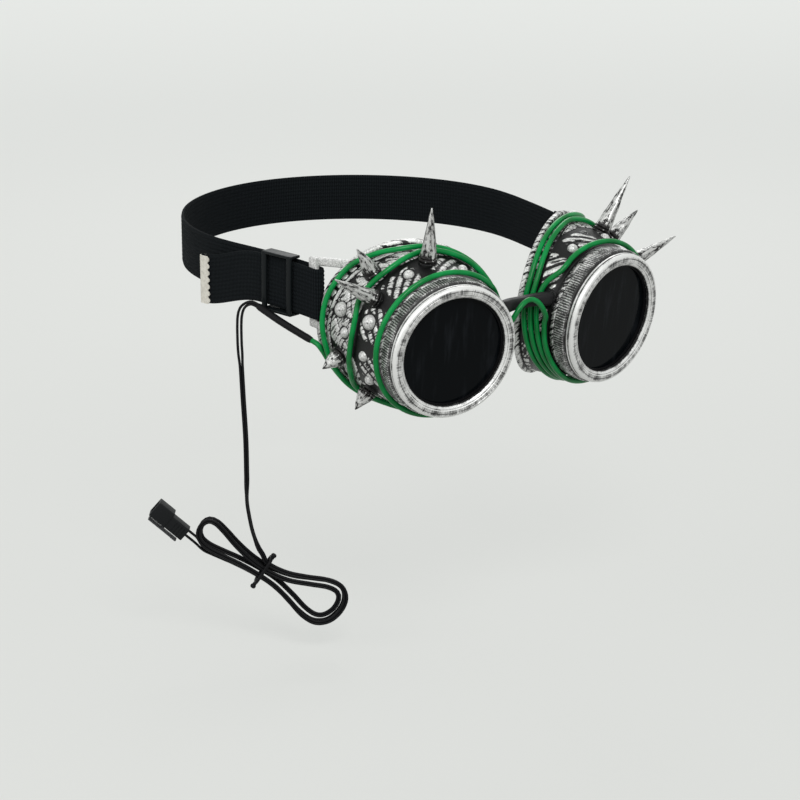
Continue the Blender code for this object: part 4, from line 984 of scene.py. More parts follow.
def spike_frame(side, angle, height, lean_front, lean_round, radius):
    """Frame in cup space whose Z points along a spike that stands at a radius."""
    turn = math.radians(angle)
    radial = Vector((side * math.cos(turn), math.sin(turn), 0))
    around = Vector((-side * math.sin(turn), math.cos(turn), 0))
    front = math.tan(math.radians(lean_front))
    sway = math.tan(math.radians(lean_round))
    along = (radial + UP * front + around * sway).normalized()
    across = along.cross(UP).normalized()
    return frame_at(across, along.cross(across), along, on_cup(side, angle, height, radius))


def strap_height(s):
    """Height of the strap's middle at a distance behind the ear."""
    return STRAP_LEVEL - STRAP_EAR_DROP * math.exp(-s / STRAP_DROP_LENGTH)


def strap_point(side, s, off, z):
    """A point by distance behind the ear, distance out from the strap's plane and height."""
    spread = math.radians(STRAP_SPREAD)
    x = EAR_X + s * math.sin(spread) + off * math.cos(spread)
    y = EAR_Y + s * math.cos(spread) - off * math.sin(spread)
    return Vector((side * x, y, z))


def on_strap(side, s, off, drop=0.0):
    """A point at the strap's own height, less a drop."""
    return strap_point(side, s, off, strap_height(s) - drop)


def strap_axes(side):
    """The strap's directions: back along it, and outward."""
    start = strap_point(side, 0, 0, 0)
    return strap_point(side, 1, 0, 0) - start, strap_point(side, 0, 1, 0) - start


def spike_spots(side):
    """Frames of a cup's spikes on its surface."""
    frame = cup_matrix(side)
    return [
        frame @ spike_frame(side, angle, height, front, sway, cup_radius(-height))
        for angle, height, _, front, sway in SPIKES[side]
    ]


def bridge_frame(side):
    """Frame on the cup's surface where the bridge seats."""
    spot = spike_frame(side, BRIDGE_ANGLE, BRIDGE_DEPTH, 0, 0, cup_radius(-BRIDGE_DEPTH))
    return cup_matrix(side) @ spot


def wire_radius(angle, height):
    """Radius of the wire's middle on a cup; it rises where it crosses the rib."""
    turn = math.radians(angle)
    rib_middle = rim_depth(turn) - RIB_FROM_RIM + RIB_WIDTH / 2
    reach = RIB_WIDTH / 2 + WIRE_DIAMETER
    near = max(0.0, 1 - abs(-height - rib_middle) / reach)
    rise = rib_height(turn) * min(1.0, 2 * near)
    return max(cup_radius(-height) + WIRE_DIAMETER / 2 + WIRE_LIFT + rise, WIRE_LEAST_RADIUS)


def winding_stations(side):
    """All strands on a cup as one list of (turn, height), from the bridge to the entry."""
    strands = (
        STRAND_FRONT[side],
        STRAND_MIDDLE[side] + STRAND_MIDDLE_UNDER,
        STRAND_REAR[side] + STRAND_REAR_UNDER,
        STRAND_ENTRY,
    )
    stations = []
    for number, strand in enumerate(strands):
        under = []
        for angle, height in STRAND_UNDER_INNER:
            under.append((angle, height - number * STRAND_PITCH))
        under.append((-180.0, INNER_CROSSING[number]))
        for angle, height in reversed(strand + tuple(under)):
            stations.append((360.0 * number + angle, height))
    return stations


def winding(side):
    """The wire's middle on a cup, from under the bridge to the entry strand."""
    stations = winding_stations(side)
    first, last = stations[0][0], stations[-1][0]
    step = 360.0 / WIRE_POINTS_PER_TURN
    frame = cup_matrix(side)
    points = []
    for k in range(int((last - first) / step) + 1):
        turn = first + k * step
        height = read_curve(stations, turn)
        points.append(frame @ on_cup(side, turn, height, wire_radius(turn, height)))
    return points


def sleeve_path():
    """Middle of the heat-shrink sleeve, from the cup to the slider."""
    return smooth_path([strap_point(RIGHT, *p) for p in SLEEVE_ROUTE], SLEEVE_SPACING)


def wire_path():
    """The glowing wire: right cup's winding, the arch over the bridge, left cup's winding."""
    sleeve = sleeve_path()
    start = sleeve[0]
    inward = (sleeve[0] - sleeve[1]).normalized()
    entry = [start + inward * GAP, start + inward * (GAP + WIRE_DIAMETER)]
    right = list(reversed(winding(RIGHT)))
    left = winding(LEFT)
    frame = cup_matrix(RIGHT)
    over_rim = []
    for angle, height, above in WIRE_RIM_STEPS:
        over_rim.append(frame @ on_cup(RIGHT, angle, height, cup_radius(-height) + above))
    arch = smooth_path([right[-1], *[Vector(p) for p in ARCH], left[0]], ARCH_SPACING)
    path = entry + over_rim + right + arch[1:-1] + left
    along = (path[-1] - path[-2]).normalized()
    path.append(path[-1] + along * WIRE_DIAMETER)
    return path


def strap_droop(s):
    """How far the free end hangs below the layer under it."""
    return STRAP_DROOP * ease((s - STRAP_DROOP_START) / (STRAP_FREE_END - STRAP_DROOP_START))


def strap_turn(side):
    """The strap's turn round the ear's bar, from the outer layer to the inner one."""
    points = []
    for k in range(STRAP_TURN_STEPS + 1):
        turn = math.pi * k / STRAP_TURN_STEPS
        s = STRAP_TURN_CENTRE - STRAP_LAYER * math.sin(turn)
        points.append(on_strap(side, s, STRAP_LAYER * math.cos(turn)))
    return points


def strap_quarter(side):
    """The strap's inner layer from the end of its straight stretch to the middle of the loop."""
    start = strap_point(side, STRAP_STRAIGHT, -STRAP_LAYER, 0)
    ahead = strap_point(side, STRAP_STRAIGHT + STRAP_SIDE_HANDLE, -STRAP_LAYER, 0)
    back = Vector((0, STRAP_BACK, 0))
    handle = back + Vector((side * STRAP_BACK_HANDLE, 0, 0))
    points = []
    length = STRAP_STRAIGHT
    before = start
    for k in range(1, STRAP_QUARTER_STEPS + 1):
        point = bezier(start, ahead, handle, back, k / STRAP_QUARTER_STEPS)
        length += (point.xy - before.xy).length
        before = point.copy()
        point.z = strap_height(length)
        points.append(point)
    return points


def strap_path():
    """Middle of the strap, from its sewn end at the left ear to its free end."""
    centre = STRAP_TURN_CENTRE
    tail = centre + STRAP_FOLD_LENGTH
    sewn = -STRAP_LAYER + STRAP_THICKNESS + GAP
    clear = EAR_BAR_FRONT + EAR_BAR_WIDTH + STRAP_PAST_BAR
    path = []
    for k in range(STRAP_STEPS + 1):
        s = tail + (centre - tail) * k / STRAP_STEPS
        off = sewn + (STRAP_LAYER - sewn) * ease((tail - s) / (tail - clear))
        path.append(on_strap(LEFT, s, off))
    path += strap_turn(LEFT)[1:]
    steps = range(1, STRAP_STEPS + 1)
    straight = [centre + (STRAP_STRAIGHT - centre) * k / STRAP_STEPS for k in steps]
    path += [on_strap(LEFT, s, -STRAP_LAYER) for s in straight]
    path += strap_quarter(LEFT)
    path += list(reversed(strap_quarter(RIGHT)))[1:]
    path += [on_strap(RIGHT, s, -STRAP_LAYER) for s in reversed(straight)]
    path += list(reversed(strap_turn(RIGHT)))
    for k in range(1, STRAP_FREE_STEPS + 1):
        s = centre + (STRAP_FREE_END - centre) * k / STRAP_FREE_STEPS
        path.append(on_strap(RIGHT, s, STRAP_LAYER, strap_droop(s)))
    return path


def slider_frame():
    """Slider frame: X along the strap, Y outward and Z up."""
    low, middle, high = [on_strap(RIGHT, SLIDER_CENTRE + step, 0) for step in (-1, 0, 1)]
    along = (high - low).normalized()
    out = strap_axes(RIGHT)[1].normalized()
    return frame_at(along, out, along.cross(out), middle)


def hank_frame():
    """Hank frame: X along the runs, Z towards the front right, where it is seen from."""
    tilt, yaw = math.radians(HANK_TILT), math.radians(VIEW_YAW)
    level = Vector((math.cos(yaw), -math.sin(yaw), 0))
    along = level * math.cos(tilt) - UP * math.sin(tilt)
    across = level * math.sin(tilt) + UP * math.cos(tilt)
    return frame_at(along, across, along.cross(across), HANK_CENTRE)


def hank_curve(turn):
    """The hank's middle loop at a turn: 0 is the waist, heading for the right-hand lobe."""
    phi = math.pi / 2 - math.tau * turn
    c, s = math.cos(phi), math.sin(phi)
    lobe = HANK_LOBE + HANK_LOBE_UNLIKE * c
    fullness = abs(c) ** (HANK_FULLNESS[0] - HANK_FULLNESS[1] * c)
    x = (HANK_HALF_LENGTH + HANK_LENGTH_UNLIKE * c) * c
    y = s * (HANK_WAIST + (lobe - HANK_WAIST) * fullness) + HANK_BOW * c * c
    return Vector((x, y, 0))


def hank_point(turn):
    """The lead's middle in the hank: it spirals in on the near layer and out on the far one."""
    reverse = HANK_TURNS / 2
    inward = turn if turn < reverse else HANK_TURNS - turn
    offset = HANK_STEP * (reverse / 2 - inward)
    along = (hank_curve(turn + HANK_NUDGE) - hank_curve(turn - HANK_NUDGE)).normalized()
    outward = Vector((-along.y, along.x, 0))
    layer = HANK_LAYER * (0.5 - ease((turn - reverse) / HANK_CLIMB_TURNS + 0.5))
    return hank_curve(turn) + outward * offset + UP * layer


def hank_path():
    """The hank's middle with its two straight ends."""
    count = round(HANK_POINTS_PER_TURN * HANK_TURNS)
    points = [hank_point(HANK_TURNS * k / count) for k in range(count + 1)]
    arriving = Vector((*LEAD_INTO_HANK[-1], points[0].z))
    into = (points[0] - arriving).normalized()
    tail = smooth_path([*points[-2:], *HANK_TAIL], HANK_TAIL_SPACING)
    points = [points[0] - into * LEAD_DIAMETER, *points[:-1], *tail[1:]]
    out = (points[-1] - points[-2]).normalized()
    points.append(points[-1] + out * LEAD_DIAMETER)
    frame = hank_frame()
    return [frame @ p for p in points]


def lead_path(hank):
    """The lead's hanging stretch, from the sleeve to the hank."""
    sleeve = sleeve_path()
    leave = (sleeve[-1] - sleeve[-2]).normalized()
    arrive = (hank[1] - hank[0]).normalized()
    end = hank[0] - arrive * GAP
    frame = hank_frame()
    stations = [sleeve[-1] + leave * GAP]
    stations += [strap_point(RIGHT, s, LEAD_OFF, z) for s, z in LEAD_ARC]
    stations += LEAD_DROP
    stations += [frame @ Vector((x, y, HANK_LAYER / 2)) for x, y in LEAD_INTO_HANK]
    stations += [end - arrive * LEAD_DIAMETER, end]
    return smooth_path(stations, LEAD_STATION_SPACING * LEAD_DIAMETER)


def connector_frame(hank):
    """Connector frame: X towards its mating end, Y towards its latch."""
    along = (hank[-1] - hank[-2]).normalized()
    view = axis(hank_frame(), 2)
    return frame_at(along, view.cross(along), view, hank[-1] + along * GAP)


def antique(name, share, metallic=0.45, size=0.9, stretch=PLAIN, low=0.70, high=1.05):
    """Cast silver finish: bright where the share of silver is high, black in the hollows."""
    shader = Shader(name, roughness=0.4, metallic=metallic)
    grain = shader.noise(shader.place(stretch), size, detail=4.0, roughness=0.7)
    level = shader.band(shader.add(share(shader), grain), low, high)
    fleck = shader.noise(shader.place(), size=0.7, detail=2.0)
    bright = shader.mix(shader.band(fleck, low=0.35, high=0.7), SILVER, SILVER_BRIGHT)
    shader.feed("Base Color", shader.mix(level, SOOT, bright))
    shader.bump(shader.add(level, grain), depth=0.12)
    return shader.material


def relief_share(shader):
    """Silver on the raised places of a cup."""
    x, y, _ = shader.split(shader.unrolled(CUP_NECK_RADIUS))
    slant = shader.join(shader.add(x, y), shader.math("MULTIPLY", y, 0.25), 0.0)
    streak = shader.noise(slant, size=1.3, detail=2.0, roughness=0.5)
    streak = shader.band(streak, low=0.38, high=0.56)
    return shader.math("MULTIPLY", shader.attribute("raised"), shader.add(0.25, streak))


def ring_material():
    """Pale silver with fine dark lines round the front and along the knurls, and the painted highlights and
    painted shade of the ring's stored share of silver.
    """
    shader = Shader("ring_silver", roughness=0.38, metallic=0.5)
    around = shader.unrolled(RING_RADIUS, stretch_round=2.2, stretch_along=0.8)
    fine = shader.noise(around, size=0.9, detail=4.0, roughness=0.75)
    along = shader.unrolled(RING_RADIUS, stretch_round=0.12, stretch_along=3.2)
    flecks = shader.add(fine, shader.noise(along, size=0.9, detail=2.0), share=0.5)
    patches = shader.noise(shader.place(), size=6.0, roughness=0.65)
    flecks = shader.add(flecks, shader.band(patches, low=0.35, high=0.65), PATCH_SHARE)
    # The stored share is a painted highlight on the ring's rounded edges and painted shade in its grooves
    level = shader.add(shader.attribute("raised"), flecks, share=1.25)
    level = shader.band(level, RING_LOW, RING_HIGH)
    shader.feed("Base Color", shader.mix(level, RING_DARK, SILVER_BRIGHT))
    shader.bump(fine, depth=0.08)
    return shader.material


def spike_material():
    """Grey silver with dark and bright streaks along the cone and a dark foot."""
    shader = Shader("spike_silver", roughness=0.36, metallic=0.6)
    height = shader.split(shader.place())[2]
    along = shader.noise(shader.place((1.0, 1.0, 0.16)), size=1.1, roughness=0.65)
    lumps = shader.noise(shader.place(), size=1.3, roughness=0.7)
    level = shader.add(along, lumps, share=0.5)
    level = shader.add(level, shader.band(height, low=1.2, high=5.5), share=0.22)
    level = shader.band(level, low=0.86, high=1.04)
    shader.feed("Base Color", shader.mix(level, SPIKE_DARK, SPIKE_SILVER))
    shader.bump(shader.add(lumps, along), depth=0.22)
    return shader.material


def wire_material():
    """Glossy green jacket of the glowing wire, unlit."""
    shader = Shader("green_wire_jacket", WIRE_GREEN, roughness=0.32)
    mottle = shader.band(shader.noise(shader.place(), size=9.0, detail=1.0), low=0.3, high=0.7)
    shader.feed("Base Color", shader.mix(mottle, WIRE_DEEP, WIRE_GREEN))
    shader.matt(0.12)
    shader.feed("Coat Weight", 0.22)
    shader.feed("Coat Roughness", 0.07)
    return shader.material


def webbing_material():
    """Black elastic with a fine weave across its ribs."""
    shader = Shader("black_elastic", roughness=0.85)
    shader.matt(0.08)
    phase = shader.math("MULTIPLY", shader.attribute("along"), math.tau / WEAVE_PITCH)
    grain = shader.noise(shader.place(), size=0.8, detail=2.0)
    weave = shader.add(shader.math("SINE", phase), grain)
    level = shader.band(weave, low=-0.6, high=1.6)
    shader.feed("Base Color", shader.mix(level, WEBBING_DARK, WEBBING))
    shader.bump(weave, depth=0.1)
    return shader.material


def rubber_material(name, colour, roughness):
    """Plain rubber or plastic with a faint grain."""
    shader = Shader(name, colour, roughness)
    shader.matt(DARK_MIRROR)
    shader.bump(shader.noise(shader.place(), size=0.6, detail=2.0), depth=0.03)
    return shader.material


def lens_material():
    """Near-black glossy lens with faint wiping streaks."""
    shader = Shader("smoked_lens_gloss", LENS_BLACK, roughness=0.06)
    shader.matt(LENS_MIRROR)
    streak = shader.noise(shader.place((0.9, 0.12, 1.0)), size=3.0)
    tint = shader.mix(shader.band(streak, low=0.5, high=0.8), LENS_BLACK, LENS_STREAK)
    shader.feed("Base Color", tint)
    shader.feed("Roughness", shader.math("MULTIPLY", streak, 0.22))
    return shader.material


def clamp_material():
    """Pale plated sheet with a little dirt."""
    shader = Shader("clamp_pale_plate", CLAMP_PALE, roughness=0.42)
    dirt = shader.noise(shader.place(), size=1.8, detail=4.0, roughness=0.7)
    dirt = shader.band(dirt, low=0.3, high=0.65)
    shader.feed("Base Color", shader.mix(dirt, CLAMP_DIRT, CLAMP_PALE))
    shader.bump(dirt, depth=0.05)
    return shader.material


def metal_material(name, colour, roughness):
    """Turned metal with fine marks."""
    shader = Shader(name, colour, roughness, metallic=1.0)
    marks = shader.noise(shader.place(), size=0.5, detail=2.0)
    shader.feed("Roughness", shader.add(roughness - 0.1, marks, share=0.2))
    return shader.material


def reed_level(angle, depth):
    """Slanting reeds in open panels, on the front band."""
    swirl = math.sin(math.radians((angle - REED_SLANT * depth) * REED_COUNT))
    edge = min(depth - FRONT_BAND[0], FRONT_BAND[1] - depth) / BAND_SLOPE
    plate = math.sin(math.radians((angle - FRONT_PANEL_TURN) * FRONT_PANELS))
    return (0.5 + 0.5 * swirl) * limit(edge) * limit((plate + FRONT_PANEL_OPENING) * PANEL_SLOPE)


def cross_level(angle, depth, rim):
    """Raised panels with a cross cut into each, on the rear band."""
    rear = rim - RIB_FROM_RIM
    across = (depth - (REAR_BAND + rear) / 2) / max((rear - REAR_BAND) / 2, 1.0)
    around = ((angle + REAR_PANEL_TURN) % REAR_PITCH) / REAR_PITCH * 2 - 1
    shape = 1.0 - (abs(across) ** 3 + abs(around) ** 3)
    cross = min(abs(across - slant * around) for slant in CROSS_SLANTS) / CROSS_WIDTH
    return limit(shape * PANEL_SLOPE) * limit(cross)


def dash_level(angle, from_rim):
    """A row of dashes along the rim."""
    dash = math.sin(math.radians(angle * DASH_COUNT))
    edge = DASH_LEVEL - abs(from_rim - DASH_MIDDLE) * DASH_SLOPE
    return limit(dash * PANEL_SLOPE + DASH_FILL) * limit(edge)


def panel_relief(angle, depth, rim):
    """Height of the cast relief on the cup wall, and how silver it is, from 0 to 1."""
    height, level = RELIEF, 0.0
    if FRONT_BAND[0] < depth < FRONT_BAND[1]:
        level = reed_level(angle, depth)
    elif REAR_BAND < depth < rim - RIB_FROM_RIM - REAR_BAND_SHORT:
        level = cross_level(angle, depth, rim)
    elif DASH_BAND[0] < rim - depth < DASH_BAND[1]:
        height, level = DASH_HEIGHT, dash_level(angle, rim - depth)
    return height * level, level


def by_dome(angle, depth):
    """0 on the groove round a rivet dome, and 1 away from it."""
    away = 1.0
    for dome_angle, height, radius in DOMES:
        arc = math.radians(angle - dome_angle) * cup_radius(depth)
        apart = math.hypot(arc, depth + height) - radius
        away = min(away, max(0.0, apart - DOME_GROOVE) / DOME_GROOVE)
    return away


def cup_profile(turn):
    """The cup's meridian at a turn, as (radius, height, share of silver)."""
    angle = math.degrees(turn)
    angle = angle - 360.0 if angle > 180.0 else angle
    rim, rib = rim_depth(turn), rib_height(turn)
    shoulder = -RING_REAR + GAP
    rib_front = rim - RIB_FROM_RIM
    rib_end = rib_front + RIB_WIDTH + RIB_SLOPE
    flange = rim - RIM_FLANGE_WIDTH
    spigot = RING_BORE - RING_CLEARANCE
    made = [(spigot, SPIGOT_FRONT, 0.0)]

    def wall(stations):
        made.extend((cup_radius(depth) + extra, depth, share) for depth, extra, share in stations)

    def rows(start, end, count, near_domes):
        for k in range(1, count + 1):
            depth = start + (end - start) * k / count
            height, level = panel_relief(angle, depth, rim)
            clear = by_dome(angle, depth) if near_domes else 1.0
            wall([(depth, height * clear, level * clear)])

    grooves = THREAD_TURNS * THREAD_STARTS
    for k in range(grooves):
        depth = SPIGOT_FRONT + THREAD_MARGIN + (shoulder - SPIGOT_FRONT - 2 * THREAD_MARGIN) * k / grooves
        phase = (depth - SPIGOT_FRONT) / THREAD_PITCH * math.tau - turn
        made.append((spigot - THREAD_HEIGHT * (0.5 + 0.5 * math.cos(phase)), depth, 0.0))
    neck = (
        (spigot, shoulder),
        (CUP_NECK_RADIUS - NECK_EDGE, shoulder),
        (CUP_NECK_RADIUS, shoulder + NECK_EDGE),
        (CUP_NECK_RADIUS, CUP_NECK_LENGTH),
    )
    made += [(*place, share) for place, share in zip(neck, NECK_SILVER)]
    rows(CUP_NECK_LENGTH, rib_front - RIB_SLOPE, CUP_ROWS, True)
    silver = RIB_SILVER * rib / RIB_HEIGHT
    wall([(rib_front, rib, silver), (rib_front + RIB_WIDTH, rib, silver), (rib_end, 0.0, 0.0)])
    rows(rib_end, flange - FLANGE_SLOPE, RIM_ROWS, False)
    wall([
        (flange, RIM_FLANGE - FLANGE_EDGE, FLANGE_SILVER),
        (flange + FLANGE_EDGE, RIM_FLANGE, FLANGE_SILVER),
        (rim - RIM_EDGE, RIM_FLANGE, FLANGE_SILVER),
        (rim, RIM_FLANGE - RIM_EDGE, WALL_SILVER),
        (rim, RIM_EDGE - CUP_WALL, WALL_SILVER),
        (rim - RIM_EDGE, -CUP_WALL, WALL_SILVER),
        ((CUP_NECK_LENGTH + rib_front) / 2, -CUP_WALL, WALL_SILVER),
        (CUP_NECK_LENGTH + CUP_SHOULDER, -CUP_WALL, 0.0),
    ])
    bore = OPENING_RADIUS + GAP
    made += [(bore, CUP_NECK_LENGTH - CUP_SHOULDER, 0.0), (bore, SPIGOT_FRONT, 0.0)]
    return [(radius, -depth, share) for radius, depth, share in made]


def fine_cup(side, looks):
    """One cup with its cast relief, and the ear, seats and domes on it."""
    name = SIDES[side]
    frame = cup_matrix(side)
    cup = turned(f"{name}_cup_cast", cup_profile, CUP_SEGMENTS, side, frame)
    spots = spike_spots(side)
    cutters = [strap_passage(side)]
    for number, spot in enumerate([*spots, bridge_frame(side)]):
        cutters.append(screw_hole(f"{name}_hole_{number}", spot))
    cut(cup, cutters)
    finish_piece(cup, looks["cup"], "frame", [f"{name}_cup"], sharp=30.0)
    low, top = SCREW_SEAT - CUP_WALL, SPIKE_BASE_RADIUS
    profile = [(SCREW_HOLE, low), (top, low), (top, SPIKE_PAD), (SCREW_HOLE, SPIKE_PAD)]
    for number, spot in enumerate(spots, 1):
        pad = lathe(f"{name}_spike_pad_{number}", rounded(profile, PAD_ROUND), PAD_SEGMENTS, spot)
        finish_piece(pad, looks["seat"], "frame")
    for number, (angle, height, radius) in enumerate(DOMES, 1):
        spot = spike_frame(side, angle, height, 0, 0, cup_radius(-height) - DOME_SINK)
        profile = [(0.0, radius * DOME_CROWN)]
        for k in range(1, DOME_STEPS + 1):
            turn = math.pi / 2 * k / DOME_STEPS
            profile.append((radius * math.sin(turn), radius * math.cos(turn)))
        profile += [(radius, -DOME_FOOT), (0.0, -DOME_FOOT)]
        dome = lathe(f"{name}_dome_{number}", profile, DOME_SEGMENTS, frame @ spot)
        finish_piece(dome, looks["dome"], "frame")
    fine_ear(side, looks)
    x, y = BRIDGE_HALF_HEIGHT + SEAT_MARGIN, BRIDGE_HALF_DEPTH + SEAT_MARGIN
    low, high = (-x, -y, -SEAT_SINK), (x, y, BRIDGE_PAD)
    seat = block(f"{name}_bridge_seat", low, high, SEAT_ROUND, bridge_frame(side))
    finish_piece(seat, looks["seat"], "frame")


def beam_shape(start, end, side, width, height, radius):
    """Points and faces of a straight rounded block between two points."""
    start, end = Vector(start), Vector(end)
    along = (end - start).normalized()
    across = (Vector(side) - Vector(side).dot(along) * along).normalized()
    upright = along.cross(across)
    turn = Matrix((along, across, upright)).transposed()
    size = ((end - start).length, width / 2, height / 2)
    points, faces = block_shape((0, -size[1], -size[2]), size, radius, 3)
    return [start + turn @ point for point in points], faces


def fine_ear(side, looks):
    """The loop that the strap goes round, in one cast piece."""
    bar = EAR_BAR_FRONT + EAR_BAR_WIDTH / 2
    middle = strap_height(bar)
    reach = STRAP_WIDTH / 2 + EAR_ARM_CLEARANCE + EAR_ARM_HEIGHT / 2
    top, bottom = middle + reach, middle - reach
    end = EAR_ARM_HEIGHT / 2
    outward = strap_axes(side)[1]
    frame = cup_matrix(side)
    low, high = strap_point(side, bar, 0, bottom - end), strap_point(side, bar, 0, top + end)
    shapes = [beam_shape(low, high, outward, EAR_BAR_THICKNESS, EAR_BAR_WIDTH, EAR_ROUND)]
    for height, (angle, from_rim) in zip((top, bottom), EAR_ROOTS):
        depth = rim_depth(math.radians(angle)) - from_rim
        root = frame @ on_cup(side, angle, -depth, cup_radius(depth) - EAR_ROOT_SINK)
        tip = strap_point(side, bar + EAR_BAR_WIDTH / 2 - EAR_TIP_SINK, 0, height)
        shapes.append(beam_shape(root, tip, UP, EAR_ARM_HEIGHT, EAR_ARM_THICKNESS, EAR_ROUND))
    ear = join_shapes(f"{SIDES[side]}_ear", shapes)
    finish_piece(ear, looks["ear"], "frame")


def strap_passage(side):
    """Cutter for the way that the strap takes through the rim, in front of the ear's bar."""
    low = STRAP_TURN_FRONT - STRAP_TURN_CLEARANCE
    high = EAR_BAR_FRONT + EAR_BAR_WIDTH
    middle = strap_height(EAR_BAR_FRONT)
    half = STRAP_WIDTH / 2 + EAR_ARM_CLEARANCE
    wide = PASSAGE_HALF_WIDTH
    rings = []
    for z in (middle - half, middle + half):
        corners = ((low, -wide), (high, -wide), (high, wide), (low, wide))
        rings.append([strap_point(side, s, off, z) for s, off in corners])
    return loft(f"{SIDES[side]}_strap_passage", rings)


def screw_hole(name, matrix):
    """A stepped cutter: a seat for the screw's head inside the wall, and the hole."""
    seat = SCREW_SEAT - CUP_WALL
    head = SCREW_HEAD_RADIUS + SCREW_HEAD_CLEARANCE
    low, high = -2 * CUP_WALL, 2 * SPIKE_PAD + GAP
    profile = ((0, low), (head, low), (head, seat), (SCREW_HOLE, seat), (SCREW_HOLE, high), (0, high))
    return lathe(name, profile, SCREW_SEGMENTS, matrix)


def fine_screw(name, length, matrix, looks):
    """A pan-head screw with a cross recess and a thread."""
    top = SCREW_SEAT - CUP_WALL - GAP
    low = top - SCREW_HEAD_HEIGHT
    head = [(0, low), (SCREW_HEAD_RADIUS * SCREW_CROWN, low), (SCREW_HEAD_RADIUS, low + SCREW_EDGE)]
    head = rounded([*head, (SCREW_HEAD_RADIUS, top), (SCREW_RADIUS, top)], SCREW_ROUND)
    threads = []
    count = round((length - top) / SCREW_THREAD)
    for k in range(count):
        z = top + (length - top) * (k + SCREW_THREAD_START) / count
        threads += [(SCREW_RADIUS, z), (SCREW_RADIUS * SCREW_ROOT, z + SCREW_THREAD / 2)]
    tip = [(SCREW_RADIUS * SCREW_TIP, length), (0, length)]
    item = lathe(f"{name}_fine", [*head, *threads, *tip], SCREW_SEGMENTS, matrix)
    depth = low + SCREW_HEAD_HEIGHT * RECESS_DEPTH
    cutters = []
    for number, (a, b) in enumerate((RECESS_ARM, RECESS_ARM[::-1])):
        start, end = (-a, -b, low - RECESS_OVER), (a, b, depth)
        cutters.append(block(f"{name}_recess_{number}", start, end, RECESS_ROUND, matrix))
    cut(item, cutters)
    finish_piece(item, looks["steel"], "frame", [name])


def fine_spike(name, seed, length, matrix, looks):
    """A hammered cone with a collar and a blind hole for its screw."""
    base = SPIKE_BASE_RADIUS
    low = SPIKE_PAD + GAP
    hole = low + SPIKE_BORE_LENGTH
    profile = [(0, hole), (SCREW_HOLE, hole - SCREW_END_GAP), (SCREW_HOLE, low), (base - SPIKE_EDGE, low)]
    collar = [(base - SPIKE_EDGE, low), (base, low + SPIKE_EDGE), (base, low + SPIKE_COLLAR)]
    profile += rounded(collar, SPIKE_EDGE)[1:]
    profile += [(base * share, low + height) for share, height in SPIKE_FOOT]
    start = low + SPIKE_CONE_START
    for k in range(SPIKE_ROWS + 1):
        t = k / SPIKE_ROWS
        straight = base * (SPIKE_CONE[0] + (SPIKE_CONE[1] - SPIKE_CONE[0]) * t)
        swell = base * SPIKE_SWELL * math.sin(math.pi * t)
        profile.append((straight + swell, start + (length - SPIKE_TIP - start) * t))
    points, faces = lathe_shape([*profile, (0, length)], SPIKE_SEGMENTS)
    shift = Vector((seed * SPIKE_LUMP_SHIFT, 0, 0))
    moved = []
    for point in points:
        reach = math.hypot(point.x, point.y)
        if point.z > start and reach > 0:
            spot = Vector((point.x, point.y, point.z * SPIKE_LUMP_STRETCH)) * SPIKE_LUMP_SCALE + shift
            lump = noise.noise(spot) * SPIKE_LUMP * min(1.0, reach / SPIKE_LUMP_FADE)
            flat = SPIKE_FLAT * math.cos(3 * math.atan2(point.y, point.x) + seed)
            flat *= min(1.0, reach / SPIKE_FLAT_FADE)
            share = 1 + (lump + flat) / reach * min(1.0, point.z - start)
            point = Vector((point.x * share, point.y * share, point.z))
        moved.append(point)
    item = raw_mesh(f"{name}_fine", moved, faces, matrix)
    finish_piece(item, looks["spike"], "frame", [name])


def fine_studs(side, looks):
    """All spikes and screws of a cup."""
    name = SIDES[side]
    into = SPIKE_PAD + GAP + SPIKE_BORE_LENGTH - SCREW_END_GAP - GAP
    for number, (spike, spot) in enumerate(zip(SPIKES[side], spike_spots(side)), 1):
        seed = number + len(SPIKES[side]) * (side > 0)
        fine_spike(f"{name}_spike_{number}", seed, spike[2], spot, looks)
        fine_screw(f"{name}_spike_screw_{number}", into, spot, looks)
    reach = BRIDGE_PAD + GAP + BRIDGE_SCREW_REACH
    fine_screw(f"{name}_bridge_screw", reach, bridge_frame(side), looks)


